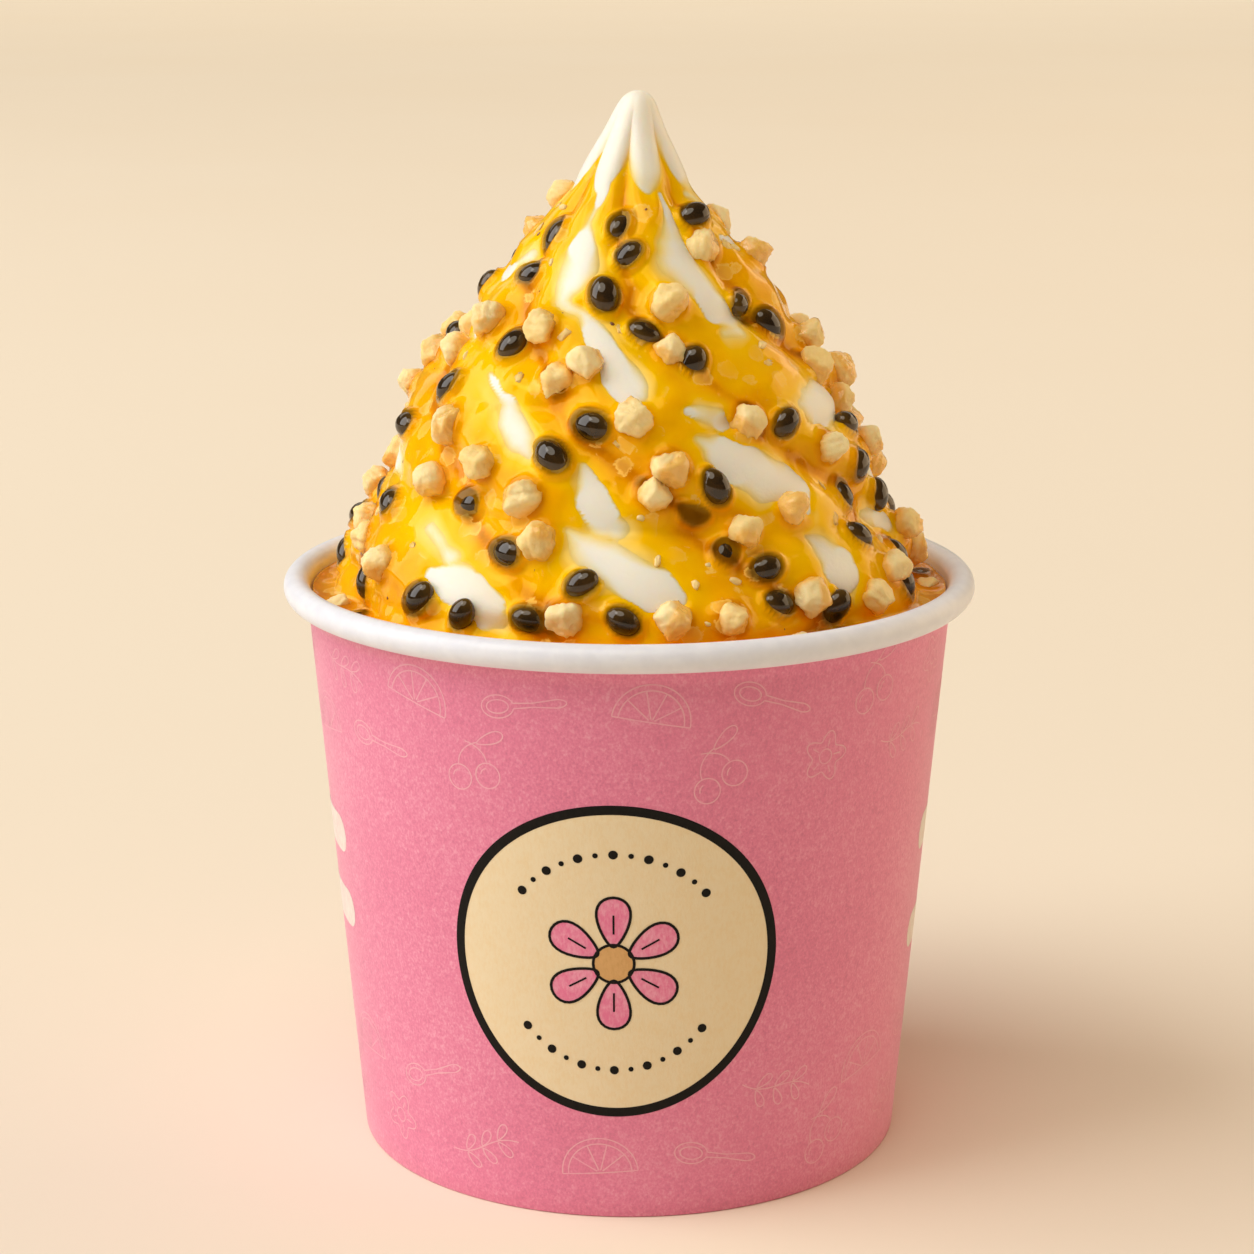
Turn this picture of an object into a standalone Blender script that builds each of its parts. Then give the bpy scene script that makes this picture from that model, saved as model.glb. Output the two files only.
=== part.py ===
"""Soft serve sundae in a paper cup, in metres, +Z up.

The cup's foot stands on z = 0, centred on the origin, and azimuth 0 is its front, at -Y. A twisted, fluted
cone of soft serve fills the cup and stands above it. Seeds and chopped nuts lie all over the cone, and sauce
has run down to a pool round its foot.
"""

import math
import random

import bmesh
import bpy
from mathutils import Matrix, Vector

# Gap that keeps neighbouring pieces apart
GAP = 0.00035

# Paper cup
CUP_HEIGHT = 0.0818
RIM_RADIUS = 0.0485
BOARD = 0.00045
ROLL_WIDTH = 0.0036
ROLL_HEIGHT = 0.0038
ROLL_STEP = 45
ROLL_CORE_STEP = 52
ROLL_END = -135
FOOT_RADIUS = 0.0385
HEM_HEIGHT = 0.0052
FLOOR_HEIGHT = 0.0065
SEGMENTS = 44
MERGE_WITHIN = 0.00001

# Cone of soft serve
TIP_HEIGHT = 0.1479
TIP_LEAN = 0.0012
LEAN_FROM = 0.120
RIDGES = 7
FIRST_RIDGE = -33.5
RIDGE_SHARES = (-0.75, -0.4, 0.0, 0.4, 0.75, 1.0)
FLUTE_DEPTH = 0.0034
FLUTE_GROWTH = 0.022
FLUTE_POWER = 2.4
FLUTE_MOST = 0.22
RIDGE_UNEVEN_RADIUS = 0.0005
RIDGE_UNEVEN_TURN = 3.0
ROWS_ABOVE_POOL = 20
ROW_CROWDING = 1.25
# Steps along and up the surface over which its slope is taken
RIDGE_STEP = 0.06
HEIGHT_STEP = 0.0008
# Radius of the ridges at each depth below the tip
CONE_OUTLINE = (
    (0.0, 0.0),
    (0.0007, 0.0018),
    (0.0050, 0.0042),
    (0.0107, 0.0073),
    (0.0137, 0.0088),
    (0.0204, 0.0145),
    (0.0270, 0.0199),
    (0.0329, 0.0236),
    (0.0398, 0.0290),
    (0.0468, 0.0319),
    (0.0546, 0.0351),
    (0.0619, 0.0392),
    (0.0689, 0.0411),
)

# How the ridges wind: degrees for each metre, growing over one stretch and easing over another
WIND_AT_TIP = 150.0
WIND_MORE = 2200.0
WIND_MORE_FROM = 0.132
WIND_MORE_OVER = 0.016
WIND_LESS = 700.0
WIND_LESS_FROM = 0.102
WIND_LESS_OVER = 0.018

# Coils of soft serve, one on another: each has its own bulge, and the ridges step back from one to the next
COIL_PITCH = 0.0135
COIL_EDGE = 0.107
COIL_DEPTH = 0.0007
COIL_BULGE_POWER = 3
COIL_STEP_BACK = 8.0
COIL_STEP_SHARE = 0.2
COIL_FADE_FROM = 0.128
COIL_FADE_OVER = 0.010

# Sauce pool
POOL_LEVEL = 0.0790
POOL_DEPTH = 0.0060

# Bare patches, where a ridge shows through the sauce. For each ridge: top, bottom, half width as a share of
# the way from the crest to the groove, and how far aside of the crest it lies, in ridge numbers
BARE_PATCHES = (
    (
        (0.1335, 0.1190, 0.16, 0.05),
        (0.1190, 0.1095, 0.15, 0.02),
        (0.1090, 0.1058, 0.10, 0.22),
        (0.1050, 0.0955, 0.33, 0.12),
        (0.0925, 0.0855, 0.20, -0.06),
    ),
    (
        (0.1300, 0.1215, 0.30, 0.10),
        (0.1240, 0.1175, 0.18, 0.20),
        (0.1115, 0.1035, 0.38, 0.12),
        (0.0990, 0.0915, 0.30, 0.0),
        (0.0900, 0.0840, 0.26, 0.0),
    ),
    (
        (0.1300, 0.1210, 0.25, 0.0),
        (0.1170, 0.1070, 0.27, 0.0),
        (0.1030, 0.0940, 0.32, 0.0),
        (0.0910, 0.0840, 0.27, 0.0),
    ),
    (
        (0.1290, 0.1195, 0.25, 0.0),
        (0.1155, 0.1065, 0.30, 0.0),
        (0.1040, 0.0960, 0.23, 0.0),
        (0.0925, 0.0840, 0.32, 0.0),
    ),
    (
        (0.1310, 0.1225, 0.25, 0.0),
        (0.1190, 0.1085, 0.26, 0.0),
        (0.1055, 0.0975, 0.32, 0.0),
        (0.0940, 0.0865, 0.26, 0.0),
    ),
    (
        (0.1300, 0.1220, 0.25, 0.0),
        (0.1080, 0.1035, 0.28, 0.2),
        (0.1000, 0.0945, 0.38, -0.15),
        (0.0930, 0.0825, 0.30, 0.30),
    ),
    (
        (0.1310, 0.1225, 0.28, 0.05),
        (0.1180, 0.1145, 0.10, 0.0),
        (0.1085, 0.1020, 0.22, 0.17),
        (0.1010, 0.0940, 0.20, 0.22),
        (0.0938, 0.0845, 0.31, 0.05),
    ),
)
BARE_MARGIN = 0.0016
BARE_SIDE_MARGIN = 0.10

# Toppings
SEED_LENGTH = 0.0050
SEED_WIDTH = 0.0037
SEED_THICKNESS = 0.0032
SEED_LIFT = 0.0007
SEED_SIDES = 6
SEED_RINGS = 3
NUT_SIZE = 0.0050
NUT_LIFT = 0.0012
NUT_UNEVEN = 0.12
TOPPINGS_ON_CONE = 166
TOPPINGS_FROM = 0.0826
TOPPINGS_TO = 0.1330
CANDIDATES = 14
CLOSEST = 0.0046
TOPPING_SMALLEST = 0.92
TOPPING_LARGEST = 1.08
POOL_TOPPING_TURN = 5.2
POOL_TOPPING_RADIUS = 0.0419
POOL_TOPPING_SINK = 0.0004
POOL_TOPPING_SIZE = 0.78
SCATTER_SEED = 7
# Toppings that face the front, each by its azimuth and height. The scattered ones keep to the rest
FRONT_SEEDS = (
    (53, 0.1312), (-9, 0.1300), (-53, 0.1283), (1, 0.1266), (-55, 0.1235), (-11, 0.1220),
    (51, 0.1200), (65, 0.1170), (5, 0.1170), (-43, 0.1150), (22, 0.1136), (-60, 0.1090),
    (-9, 0.1064), (45, 0.1056), (-75, 0.1030), (75, 0.1030), (-19, 0.1024), (20, 0.0990),
    (15, 0.0954), (-41, 0.0950), (60, 0.0948), (-66, 0.0933), (-26, 0.0903), (21, 0.0898),
    (57, 0.0898), (29, 0.0882), (-9, 0.0875), (75, 0.0852), (-43, 0.0837), (30, 0.0836),
    (-1, 0.0832), (-66, 0.0829), (-33, 0.0827), (-20, 0.0826), (44, 0.0826), (66, 0.0828),
)
FRONT_NUTS = (
    (50, 0.1272), (16, 0.1210), (-31, 0.1180), (-58, 0.1175), (13, 0.1145), (-13, 0.1138),
    (-70, 0.1130), (-21, 0.1115), (1, 0.1074), (35, 0.1060), (-52, 0.1050), (58, 0.1017),
    (10, 0.1015), (-37, 0.1010), (-54, 0.0975), (-24, 0.0975), (5, 0.0974), (38, 0.0953),
    (26, 0.0930), (-19, 0.0920), (-73, 0.0880), (-57, 0.0866), (62, 0.0850), (38, 0.0845),
    (8, 0.0832), (-12, 0.0830), (19, 0.0828), (53, 0.0828),
)
FRONT_REACH = 67
RIDGE_TRIES = 6

# Colours, as red, green and blue out of 255
PINK_PAPER = (226, 125, 152)
PLAIN_PAPER = (240, 234, 230)
SOFT_SERVE = (248, 242, 232)
SAUCE = (240, 165, 12)
ROUGH_PRINT = 0.6
ROUGH_PAPER = 0.5
ROUGH_ICE = 0.45
ROUGH_SAUCE = 0.08


def clear_scene():
    for thing in list(bpy.data.objects):
        bpy.data.objects.remove(thing)


def linear(channel):
    share = channel / 255
    return share / 12.92 if share <= 0.04045 else ((share + 0.055) / 1.055) ** 2.4


def material(name, colour, roughness):
    made = bpy.data.materials.new(name)
    made.use_nodes = True
    shader = made.node_tree.nodes["Principled BSDF"]
    shader.inputs["Base Color"].default_value = (*[linear(c) for c in colour], 1.0)
    shader.inputs["Roughness"].default_value = roughness
    shader.inputs["Metallic"].default_value = 0.0
    return made


def add_object(name, mesh, finish):
    made = bpy.data.objects.new(name, mesh)
    mesh.materials.append(finish)
    bpy.context.scene.collection.objects.link(made)
    return made


def smooth(share):
    share = min(max(share, 0.0), 1.0)
    return share * share * (3 - 2 * share)


def smooth_area(share):
    """The area under smooth() from 0 to share."""
    if share <= 0:
        return 0.0
    return share**3 - share**4 / 2 if share < 1 else share - 0.5


# ---------------------------------------------------------------- cup


def wall_radius(height):
    """Outer radius of the cup's side at a height."""
    top = RIM_RADIUS - ROLL_WIDTH + BOARD
    share = height / (CUP_HEIGHT - ROLL_HEIGHT / 2)
    return FOOT_RADIUS + (top - FOOT_RADIUS) * share


def inside_radius(height):
    """Radius that the cup's contents may fill at a height."""
    return wall_radius(height) - BOARD - GAP


def arc(centre, half_width, half_height, start, end, step):
    """Points on an ellipse from one angle to another, in degrees, both ends included."""
    count = max(1, round(abs(end - start) / step))
    points = []
    for i in range(count + 1):
        angle = math.radians(start + (end - start) * i / count)
        along = half_width * math.cos(angle)
        points.append((centre[0] + along, centre[1] + half_height * math.sin(angle)))
    return points


def turned(name, outline, finish, closed):
    """Object turned about Z from an outline of (radius, height) points, by a Screw modifier."""
    mesh = bpy.data.meshes.new(name)
    last = len(outline) if closed else len(outline) - 1
    edges = [(i, (i + 1) % len(outline)) for i in range(last)]
    mesh.from_pydata([(r, 0.0, z) for r, z in outline], edges, [])
    made = add_object(name, mesh, finish)
    screw = made.modifiers.new("turn", "SCREW")
    screw.axis = "Z"
    screw.steps = SEGMENTS
    screw.render_steps = SEGMENTS
    screw.use_merge_vertices = True
    screw.merge_threshold = MERGE_WITHIN
    screw.use_smooth_shade = True
    return made


def cup_wall_outline():
    """Rolled rim, side and folded hem as one sheet of board."""
    half_width = ROLL_WIDTH / 2
    half_height = ROLL_HEIGHT / 2
    centre = (RIM_RADIUS - half_width, CUP_HEIGHT - half_height)
    core = (half_width - BOARD, half_height - BOARD)
    over_roll = arc(centre, half_width, half_height, 90, ROLL_END, ROLL_STEP)
    in_roll = arc(centre, *core, ROLL_END, 180, ROLL_CORE_STEP)
    up_roll = arc(centre, half_width, half_height, 180, 90, ROLL_STEP)[:-1]
    channel = BOARD + 2 * GAP
    hem_inside = FOOT_RADIUS - 2 * BOARD - channel
    lean = wall_radius(HEM_HEIGHT) - wall_radius(0.0)
    foot = [
        (FOOT_RADIUS, 0.0),
        (hem_inside, 0.0),
        (hem_inside + lean, HEM_HEIGHT),
        (hem_inside + BOARD + lean, HEM_HEIGHT),
        (hem_inside + BOARD, BOARD),
        (wall_radius(BOARD) - BOARD, BOARD),
    ]
    return over_roll + in_roll + foot + up_roll


def cup_bottom_outline():
    """Raised floor with a skirt that stands in the hem."""
    under = FLOOR_HEIGHT - BOARD
    skirt_foot = BOARD + GAP
    return [
        (0.0, FLOOR_HEIGHT),
        (inside_radius(FLOOR_HEIGHT), FLOOR_HEIGHT),
        (inside_radius(skirt_foot), skirt_foot),
        (inside_radius(skirt_foot) - BOARD, skirt_foot),
        (inside_radius(under) - BOARD, under),
        (0.0, under),
    ]


# ---------------------------------------------------------------- soft serve


def uneven_ridges():
    """For each ridge, how much further out and round it lies than an even one."""
    draw = random.Random(SCATTER_SEED)
    out = [draw.uniform(-1, 1) * RIDGE_UNEVEN_RADIUS for _ in range(RIDGES)]
    turn = [draw.uniform(-1, 1) * RIDGE_UNEVEN_TURN for _ in range(RIDGES)]
    return out, turn


RIDGE_OUT, RIDGE_TURN = uneven_ridges()


def outline_radius(depth):
    """Ridge radius at a depth below the tip: a smooth curve through the outline."""
    along = math.sqrt(max(depth, 0.0))
    knots = [math.sqrt(d) for d, _ in CONE_OUTLINE]
    radii = [r for _, r in CONE_OUTLINE]
    if along >= knots[-1]:
        return radii[-1]
    i = max(j for j in range(len(knots) - 1) if knots[j] <= along)

    def slope(j):
        low, high = max(j - 1, 0), min(j + 1, len(knots) - 1)
        return (radii[high] - radii[low]) / (knots[high] - knots[low])

    span = knots[i + 1] - knots[i]
    t = (along - knots[i]) / span
    start = (1 + 2 * t) * (1 - t) ** 2 * radii[i] + t * (1 - t) ** 2 * span * slope(i)
    end = t * t * (3 - 2 * t) * radii[i + 1] + t * t * (t - 1) * span * slope(i + 1)
    return start + end


def winding(height):
    """Degrees that the ridges have turned between the tip and a height."""
    turned_by = WIND_AT_TIP * (TIP_HEIGHT - height)
    more = (WIND_MORE_FROM - height) / WIND_MORE_OVER
    less = (WIND_LESS_FROM - height) / WIND_LESS_OVER
    turned_by += WIND_MORE * WIND_MORE_OVER * smooth_area(more)
    return turned_by - WIND_LESS * WIND_LESS_OVER * smooth_area(less)


def coil_share(azimuth, height):
    """How far down its own coil a point lies, from 0 at the coil's top edge to 1 at its lower edge."""
    return ((COIL_EDGE - height) / COIL_PITCH - azimuth / 360) % 1.0


def coil_weight(height):
    return smooth((COIL_FADE_FROM - height) / COIL_FADE_OVER)


def coil_turn(azimuth, height):
    """Degrees that the ridges run ahead within a coil, before they step back at its lower edge."""
    share = coil_share(azimuth, height)
    run = share - 0.5 - smooth((share - 1 + COIL_STEP_SHARE) / COIL_STEP_SHARE)
    return COIL_STEP_BACK * coil_weight(height) * run


def coil_swell(azimuth, height):
    """How far a coil's middle stands out from its edges."""
    share = coil_share(azimuth, height)
    return COIL_DEPTH * coil_weight(height) * (1 - abs(2 * share - 1) ** COIL_BULGE_POWER)


def ridge_azimuth(ridge, height):
    """Azimuth of a ridge's crest, and of the place between crests for a ridge number with a fraction."""
    held = max(height, POOL_LEVEL)
    even = FIRST_RIDGE + 360 / RIDGES * ridge + winding(held)
    whole = math.floor(ridge)
    share = ridge - whole
    turn = RIDGE_TURN[whole % RIDGES] * (1 - share) + RIDGE_TURN[(whole + 1) % RIDGES] * share
    return even + turn + coil_turn(even, held)


def ridge_at(azimuth, height):
    """Ridge number of the place that lies at an azimuth, found by trial."""
    ridge = 0.0
    for _ in range(RIDGE_TRIES):
        ridge += (azimuth - ridge_azimuth(ridge, height)) * RIDGES / 360
    return ridge


def ridge_radius(ridge, height):
    """Radius of the cone at a ridge number, whose fraction runs from one crest to the next."""
    held = max(height, POOL_LEVEL)
    depth = TIP_HEIGHT - held
    crest = outline_radius(depth)
    nearest = round(ridge)
    off = abs(ridge - nearest) * 2
    flute = min(FLUTE_DEPTH * smooth(depth / FLUTE_GROWTH), FLUTE_MOST * crest)
    grown = smooth(depth / FLUTE_GROWTH)
    out = RIDGE_OUT[nearest % RIDGES] * grown * (1 - off)
    even = FIRST_RIDGE + 360 / RIDGES * ridge + winding(held)
    swell = coil_swell(even, held) - COIL_DEPTH * coil_weight(held)
    return crest + out + swell - flute * off**FLUTE_POWER


def cone_axis(height):
    """Where the cone's axis lies in X at a height: its tip leans a little."""
    share = max(height - LEAN_FROM, 0.0) / (TIP_HEIGHT - LEAN_FROM)
    return TIP_LEAN * share * share


def cone_point(ridge, height, outward=0.0):
    """Point of the cone's surface at a ridge number and a height."""
    azimuth = math.radians(ridge_azimuth(ridge, height))
    radius = ridge_radius(ridge, height) + outward
    x = cone_axis(height) + radius * math.sin(azimuth)
    return Vector((x, -radius * math.cos(azimuth), height))


def cone_normal(ridge, height):
    across = cone_point(ridge + RIDGE_STEP, height) - cone_point(ridge - RIDGE_STEP, height)
    up = cone_point(ridge, height + HEIGHT_STEP) - cone_point(ridge, height - HEIGHT_STEP)
    return across.cross(up).normalized()


def ridge_numbers():
    """Ridge numbers of the columns of the cone's mesh, all the way round."""
    return [i + share / 2 for i in range(RIDGES) for share in RIDGE_SHARES]


def cone_heights():
    """Heights of the cone's rows from the pool's level up, closer together towards the tip."""
    rise = TIP_HEIGHT - POOL_LEVEL
    shares = [i / ROWS_ABOVE_POOL for i in range(ROWS_ABOVE_POOL)]
    return [POOL_LEVEL + rise * (1 - (1 - share) ** ROW_CROWDING) for share in shares]


def rings_mesh(name, rings, bottom, top):
    """Closed mesh through rings of equal length, from the lowest up, with a point that shuts each end."""
    count = len(rings[0])
    points = [point for ring in rings for point in ring] + [bottom, top]
    faces = []
    for row in range(len(rings) - 1):
        for i in range(count):
            j = (i + 1) % count
            low, high = row * count, (row + 1) * count
            faces.append((low + i, low + j, high + j))
            faces.append((low + i, high + j, high + i))
    under = len(rings) * count
    last = (len(rings) - 1) * count
    for i in range(count):
        j = (i + 1) % count
        faces.append((j, i, under))
        faces.append((last + i, last + j, under + 1))
    mesh = bpy.data.meshes.new(name)
    mesh.from_pydata(points, [], faces)
    return mesh


def in_cup(ridge, height):
    """Point on the cup's filling, where it meets the wall, on the same ray as the cone's column."""
    azimuth = math.radians(ridge_azimuth(ridge, POOL_LEVEL))
    radius = inside_radius(height)
    return Vector((radius * math.sin(azimuth), -radius * math.cos(azimuth), height))


def soft_serve_mesh():
    """The cup's filling up to a shoulder under the pool, and the fluted cone above it."""
    columns = ridge_numbers()
    base = FLOOR_HEIGHT + GAP
    shoulder = POOL_LEVEL - POOL_DEPTH - GAP
    rings = [[in_cup(c, base) for c in columns], [in_cup(c, shoulder) for c in columns]]
    rings.append([cone_point(c, shoulder) for c in columns])
    for height in cone_heights():
        rings.append([cone_point(c, height) for c in columns])
    tip = Vector((cone_axis(TIP_HEIGHT), 0.0, TIP_HEIGHT))
    return rings_mesh("soft_serve", rings, Vector((0.0, 0.0, base)), tip)


# ---------------------------------------------------------------- toppings


def is_bare(ridge, height):
    """True on a bare patch, or close to one."""
    for number, patches in enumerate(BARE_PATCHES):
        for top, bottom, half_width, shift in patches:
            aside = (ridge - number - shift + RIDGES / 2) % RIDGES - RIDGES / 2
            along = (height - (top + bottom) / 2) / ((top - bottom) / 2 + BARE_MARGIN)
            if along**2 + (2 * aside / (half_width + BARE_SIDE_MARGIN)) ** 2 < 1:
                return True
    return False


def faces_front(ridge, height):
    azimuth = (ridge_azimuth(ridge, height) + 180) % 360 - 180
    return abs(azimuth) < FRONT_REACH


def topping_spots():
    """Where each topping lies on the cone, as (ridge number, height, whether it is a seed).

    Those at the front come first, then scattered ones, each far from those before it.
    """
    draw = random.Random(SCATTER_SEED + 2)
    spots = [(ridge_at(azimuth, height), height, True) for azimuth, height in FRONT_SEEDS]
    spots += [(ridge_at(azimuth, height), height, False) for azimuth, height in FRONT_NUTS]
    places = [cone_point(ridge, height) for ridge, height, _ in spots]
    widest = ridge_radius(0, TOPPINGS_FROM)
    while len(spots) < TOPPINGS_ON_CONE:
        best, best_distance = None, 0.0
        for _ in range(CANDIDATES):
            height = draw.uniform(TOPPINGS_FROM, TOPPINGS_TO)
            ridge = draw.uniform(0, RIDGES)
            if draw.random() * widest > ridge_radius(ridge, height):
                continue
            if is_bare(ridge, height) or faces_front(ridge, height):
                continue
            place = cone_point(ridge, height)
            distance = min((place - p).length for p in places)
            if distance > best_distance:
                best, best_distance = (ridge, height, place), distance
        if best is None or best_distance < CLOSEST:
            continue
        spots.append((best[0], best[1], len(spots) % 2 == 0))
        places.append(best[2])
    return spots


def seed_shape():
    shape = bmesh.new()
    bmesh.ops.create_uvsphere(shape, u_segments=SEED_SIDES, v_segments=SEED_RINGS, radius=0.5)
    lying = Matrix.Rotation(math.radians(90), 4, "Y")
    size = Matrix.Diagonal((SEED_LENGTH, SEED_WIDTH, SEED_THICKNESS, 1.0))
    bmesh.ops.transform(shape, matrix=size @ lying, verts=shape.verts)
    return shape


def nut_shape(draw):
    """A chopped piece: a few flat faces, none of the same size."""
    shape = bmesh.new()
    bmesh.ops.create_icosphere(shape, subdivisions=1, radius=NUT_SIZE / 2)
    for vertex in shape.verts:
        vertex.co *= 1 + draw.uniform(-NUT_UNEVEN, NUT_UNEVEN)
    return shape


def lay(shape, name, point, normal, draw, helpers):
    """Puts a topping on a surface, turned at random about the surface's normal."""
    upright = normal.to_track_quat("Z", "Y").to_matrix().to_4x4()
    turn = Matrix.Rotation(draw.uniform(0, math.tau), 4, "Z")
    size = Matrix.Scale(draw.uniform(TOPPING_SMALLEST, TOPPING_LARGEST), 4)
    mesh = bpy.data.meshes.new(name)
    place = Matrix.Translation(point) @ upright @ turn @ size
    bmesh.ops.transform(shape, matrix=place, verts=shape.verts)
    bmesh.ops.triangulate(shape, faces=shape.faces)
    shape.to_mesh(mesh)
    shape.free()
    helpers.objects.link(bpy.data.objects.new(name, mesh))


def fuse(body, helpers):
    """Joins the toppings to what they lie on, and removes them."""
    union = body.modifiers.new("toppings", "BOOLEAN")
    union.operation = "UNION"
    union.solver = "MANIFOLD"
    union.operand_type = "COLLECTION"
    union.collection = helpers
    bpy.ops.object.select_all(action="DESELECT")
    bpy.context.view_layer.objects.active = body
    body.select_set(True)
    bpy.ops.object.modifier_apply(modifier=union.name)
    for thing in list(helpers.objects):
        bpy.data.objects.remove(thing)
    bpy.data.collections.remove(helpers)


def helper_collection(name):
    helpers = bpy.data.collections.new(name)
    bpy.context.scene.collection.children.link(helpers)
    return helpers


def add_cone_toppings(body):
    draw = random.Random(SCATTER_SEED + 3)
    helpers = helper_collection("cone_toppings")
    for i, (ridge, height, is_seed) in enumerate(topping_spots()):
        normal = cone_normal(ridge, height)
        shape = seed_shape() if is_seed else nut_shape(draw)
        point = cone_point(ridge, height) + normal * (SEED_LIFT if is_seed else NUT_LIFT)
        lay(shape, f"topping_{i}", point, normal, draw, helpers)
    fuse(body, helpers)


def add_pool_toppings(body):
    """A seed and a nut float side by side at the foot of each groove."""
    draw = random.Random(SCATTER_SEED + 4)
    helpers = helper_collection("pool_toppings")
    for ridge in range(RIDGES):
        groove = ridge_azimuth(ridge + 0.5, POOL_LEVEL)
        for side in (-1, 1):
            azimuth = math.radians(groove + side * POOL_TOPPING_TURN)
            is_seed = side * (-1) ** ridge > 0
            height = POOL_LEVEL - POOL_TOPPING_SINK
            x, y = math.sin(azimuth), -math.cos(azimuth)
            point = Vector((POOL_TOPPING_RADIUS * x, POOL_TOPPING_RADIUS * y, height))
            shape = seed_shape() if is_seed else nut_shape(draw)
            bmesh.ops.scale(shape, vec=(POOL_TOPPING_SIZE,) * 3, verts=shape.verts)
            lay(shape, f"floating_{ridge}_{side}", point, Vector((0, 0, 1)), draw, helpers)
    fuse(body, helpers)


# ---------------------------------------------------------------- sauce pool


def pool_mesh():
    """Ring of sauce between the cup's side and the foot of the cone, level on top."""
    columns = ridge_numbers()
    low, high = POOL_LEVEL - POOL_DEPTH, POOL_LEVEL
    inner = {z: [cone_point(c, z, GAP) for c in columns] for z in (low, high)}
    outer = {z: [in_cup(c, z) for c in columns] for z in (low, high)}
    rings = [inner[low], outer[low], outer[high], inner[high]]
    count = len(columns)
    faces = []
    for row in range(len(rings)):
        for i in range(count):
            j = (i + 1) % count
            near, far = row * count, (row + 1) % len(rings) * count
            faces.append((near + i, near + j, far + j))
            faces.append((near + i, far + j, far + i))
    mesh = bpy.data.meshes.new("sauce_pool")
    mesh.from_pydata([point for ring in rings for point in ring], [], faces)
    return mesh


def main():
    clear_scene()
    printed_board = material("printed_board", PINK_PAPER, ROUGH_PRINT)
    plain_board = material("plain_board", PLAIN_PAPER, ROUGH_PAPER)
    ice = material("soft_serve", SOFT_SERVE, ROUGH_ICE)
    sauce = material("sauce", SAUCE, ROUGH_SAUCE)

    turned("cup_wall", cup_wall_outline(), printed_board, closed=True)
    turned("cup_bottom", cup_bottom_outline(), plain_board, closed=False)
    soft_serve = add_object("soft_serve", soft_serve_mesh(), ice)
    add_cone_toppings(soft_serve)
    sauce_pool = add_object("sauce_pool", pool_mesh(), sauce)
    add_pool_toppings(sauce_pool)


main()
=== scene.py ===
"""Looks of the soft serve sundae in its paper cup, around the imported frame, in metres, +Z up.

The frame's sizes are repeated here by name, so that the smooth cone, its toppings and the sauce lie where the
solids do. Azimuth 0 is the front, at -Y. A place on the cone is a ridge number and a height: a whole ridge
number is a crest, and a half is the groove after it.
"""

import math
import random

import bpy
import numpy as np
from mathutils import Matrix, Vector


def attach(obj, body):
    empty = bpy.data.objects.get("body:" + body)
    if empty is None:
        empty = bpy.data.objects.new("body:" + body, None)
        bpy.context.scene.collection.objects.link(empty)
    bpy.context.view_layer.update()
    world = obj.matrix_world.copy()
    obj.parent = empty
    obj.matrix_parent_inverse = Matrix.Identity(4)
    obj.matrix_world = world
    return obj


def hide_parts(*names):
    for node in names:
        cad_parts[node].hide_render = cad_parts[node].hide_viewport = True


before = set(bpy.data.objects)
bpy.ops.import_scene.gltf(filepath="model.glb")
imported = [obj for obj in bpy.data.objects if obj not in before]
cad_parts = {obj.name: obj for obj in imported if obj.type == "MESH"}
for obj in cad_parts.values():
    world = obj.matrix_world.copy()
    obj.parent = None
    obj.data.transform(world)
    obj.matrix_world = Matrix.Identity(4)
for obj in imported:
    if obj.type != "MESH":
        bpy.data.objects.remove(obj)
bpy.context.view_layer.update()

MM = 0.001

# ---------------------------------------------------------------- sizes shared with the solids

GAP = 0.00035
CUP_HEIGHT = 0.0818
RIM_RADIUS = 0.0485
BOARD = 0.00045
ROLL_WIDTH = 0.0036
ROLL_HEIGHT = 0.0038
FOOT_RADIUS = 0.0385
HEM_HEIGHT = 0.0052
FLOOR_HEIGHT = 0.0065

TIP_HEIGHT = 0.1479
TIP_LEAN = 0.0012
LEAN_FROM = 0.120
RIDGES = 7
RIDGE_STEP = 0.06
HEIGHT_STEP = 0.0008
FIRST_RIDGE = -33.5
FLUTE_DEPTH = 0.0034
FLUTE_GROWTH = 0.022
FLUTE_POWER = 2.4
FLUTE_MOST = 0.22
RIDGE_UNEVEN_RADIUS = 0.0005
RIDGE_UNEVEN_TURN = 3.0
CONE_OUTLINE = (
    (0.0, 0.0),
    (0.0007, 0.0018),
    (0.0050, 0.0042),
    (0.0107, 0.0073),
    (0.0137, 0.0088),
    (0.0204, 0.0145),
    (0.0270, 0.0199),
    (0.0329, 0.0236),
    (0.0398, 0.0290),
    (0.0468, 0.0319),
    (0.0546, 0.0351),
    (0.0619, 0.0392),
    (0.0689, 0.0411),
)

WIND_AT_TIP = 150.0
WIND_MORE = 2200.0
WIND_MORE_FROM = 0.132
WIND_MORE_OVER = 0.016
WIND_LESS = 700.0
WIND_LESS_FROM = 0.102
WIND_LESS_OVER = 0.018

COIL_PITCH = 0.0135
COIL_EDGE = 0.107
COIL_DEPTH = 0.0007
COIL_STEP_BACK = 8.0
COIL_STEP_SHARE = 0.2
COIL_FADE_FROM = 0.128
COIL_FADE_OVER = 0.010

POOL_LEVEL = 0.0790
POOL_DEPTH = 0.0060

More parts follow.
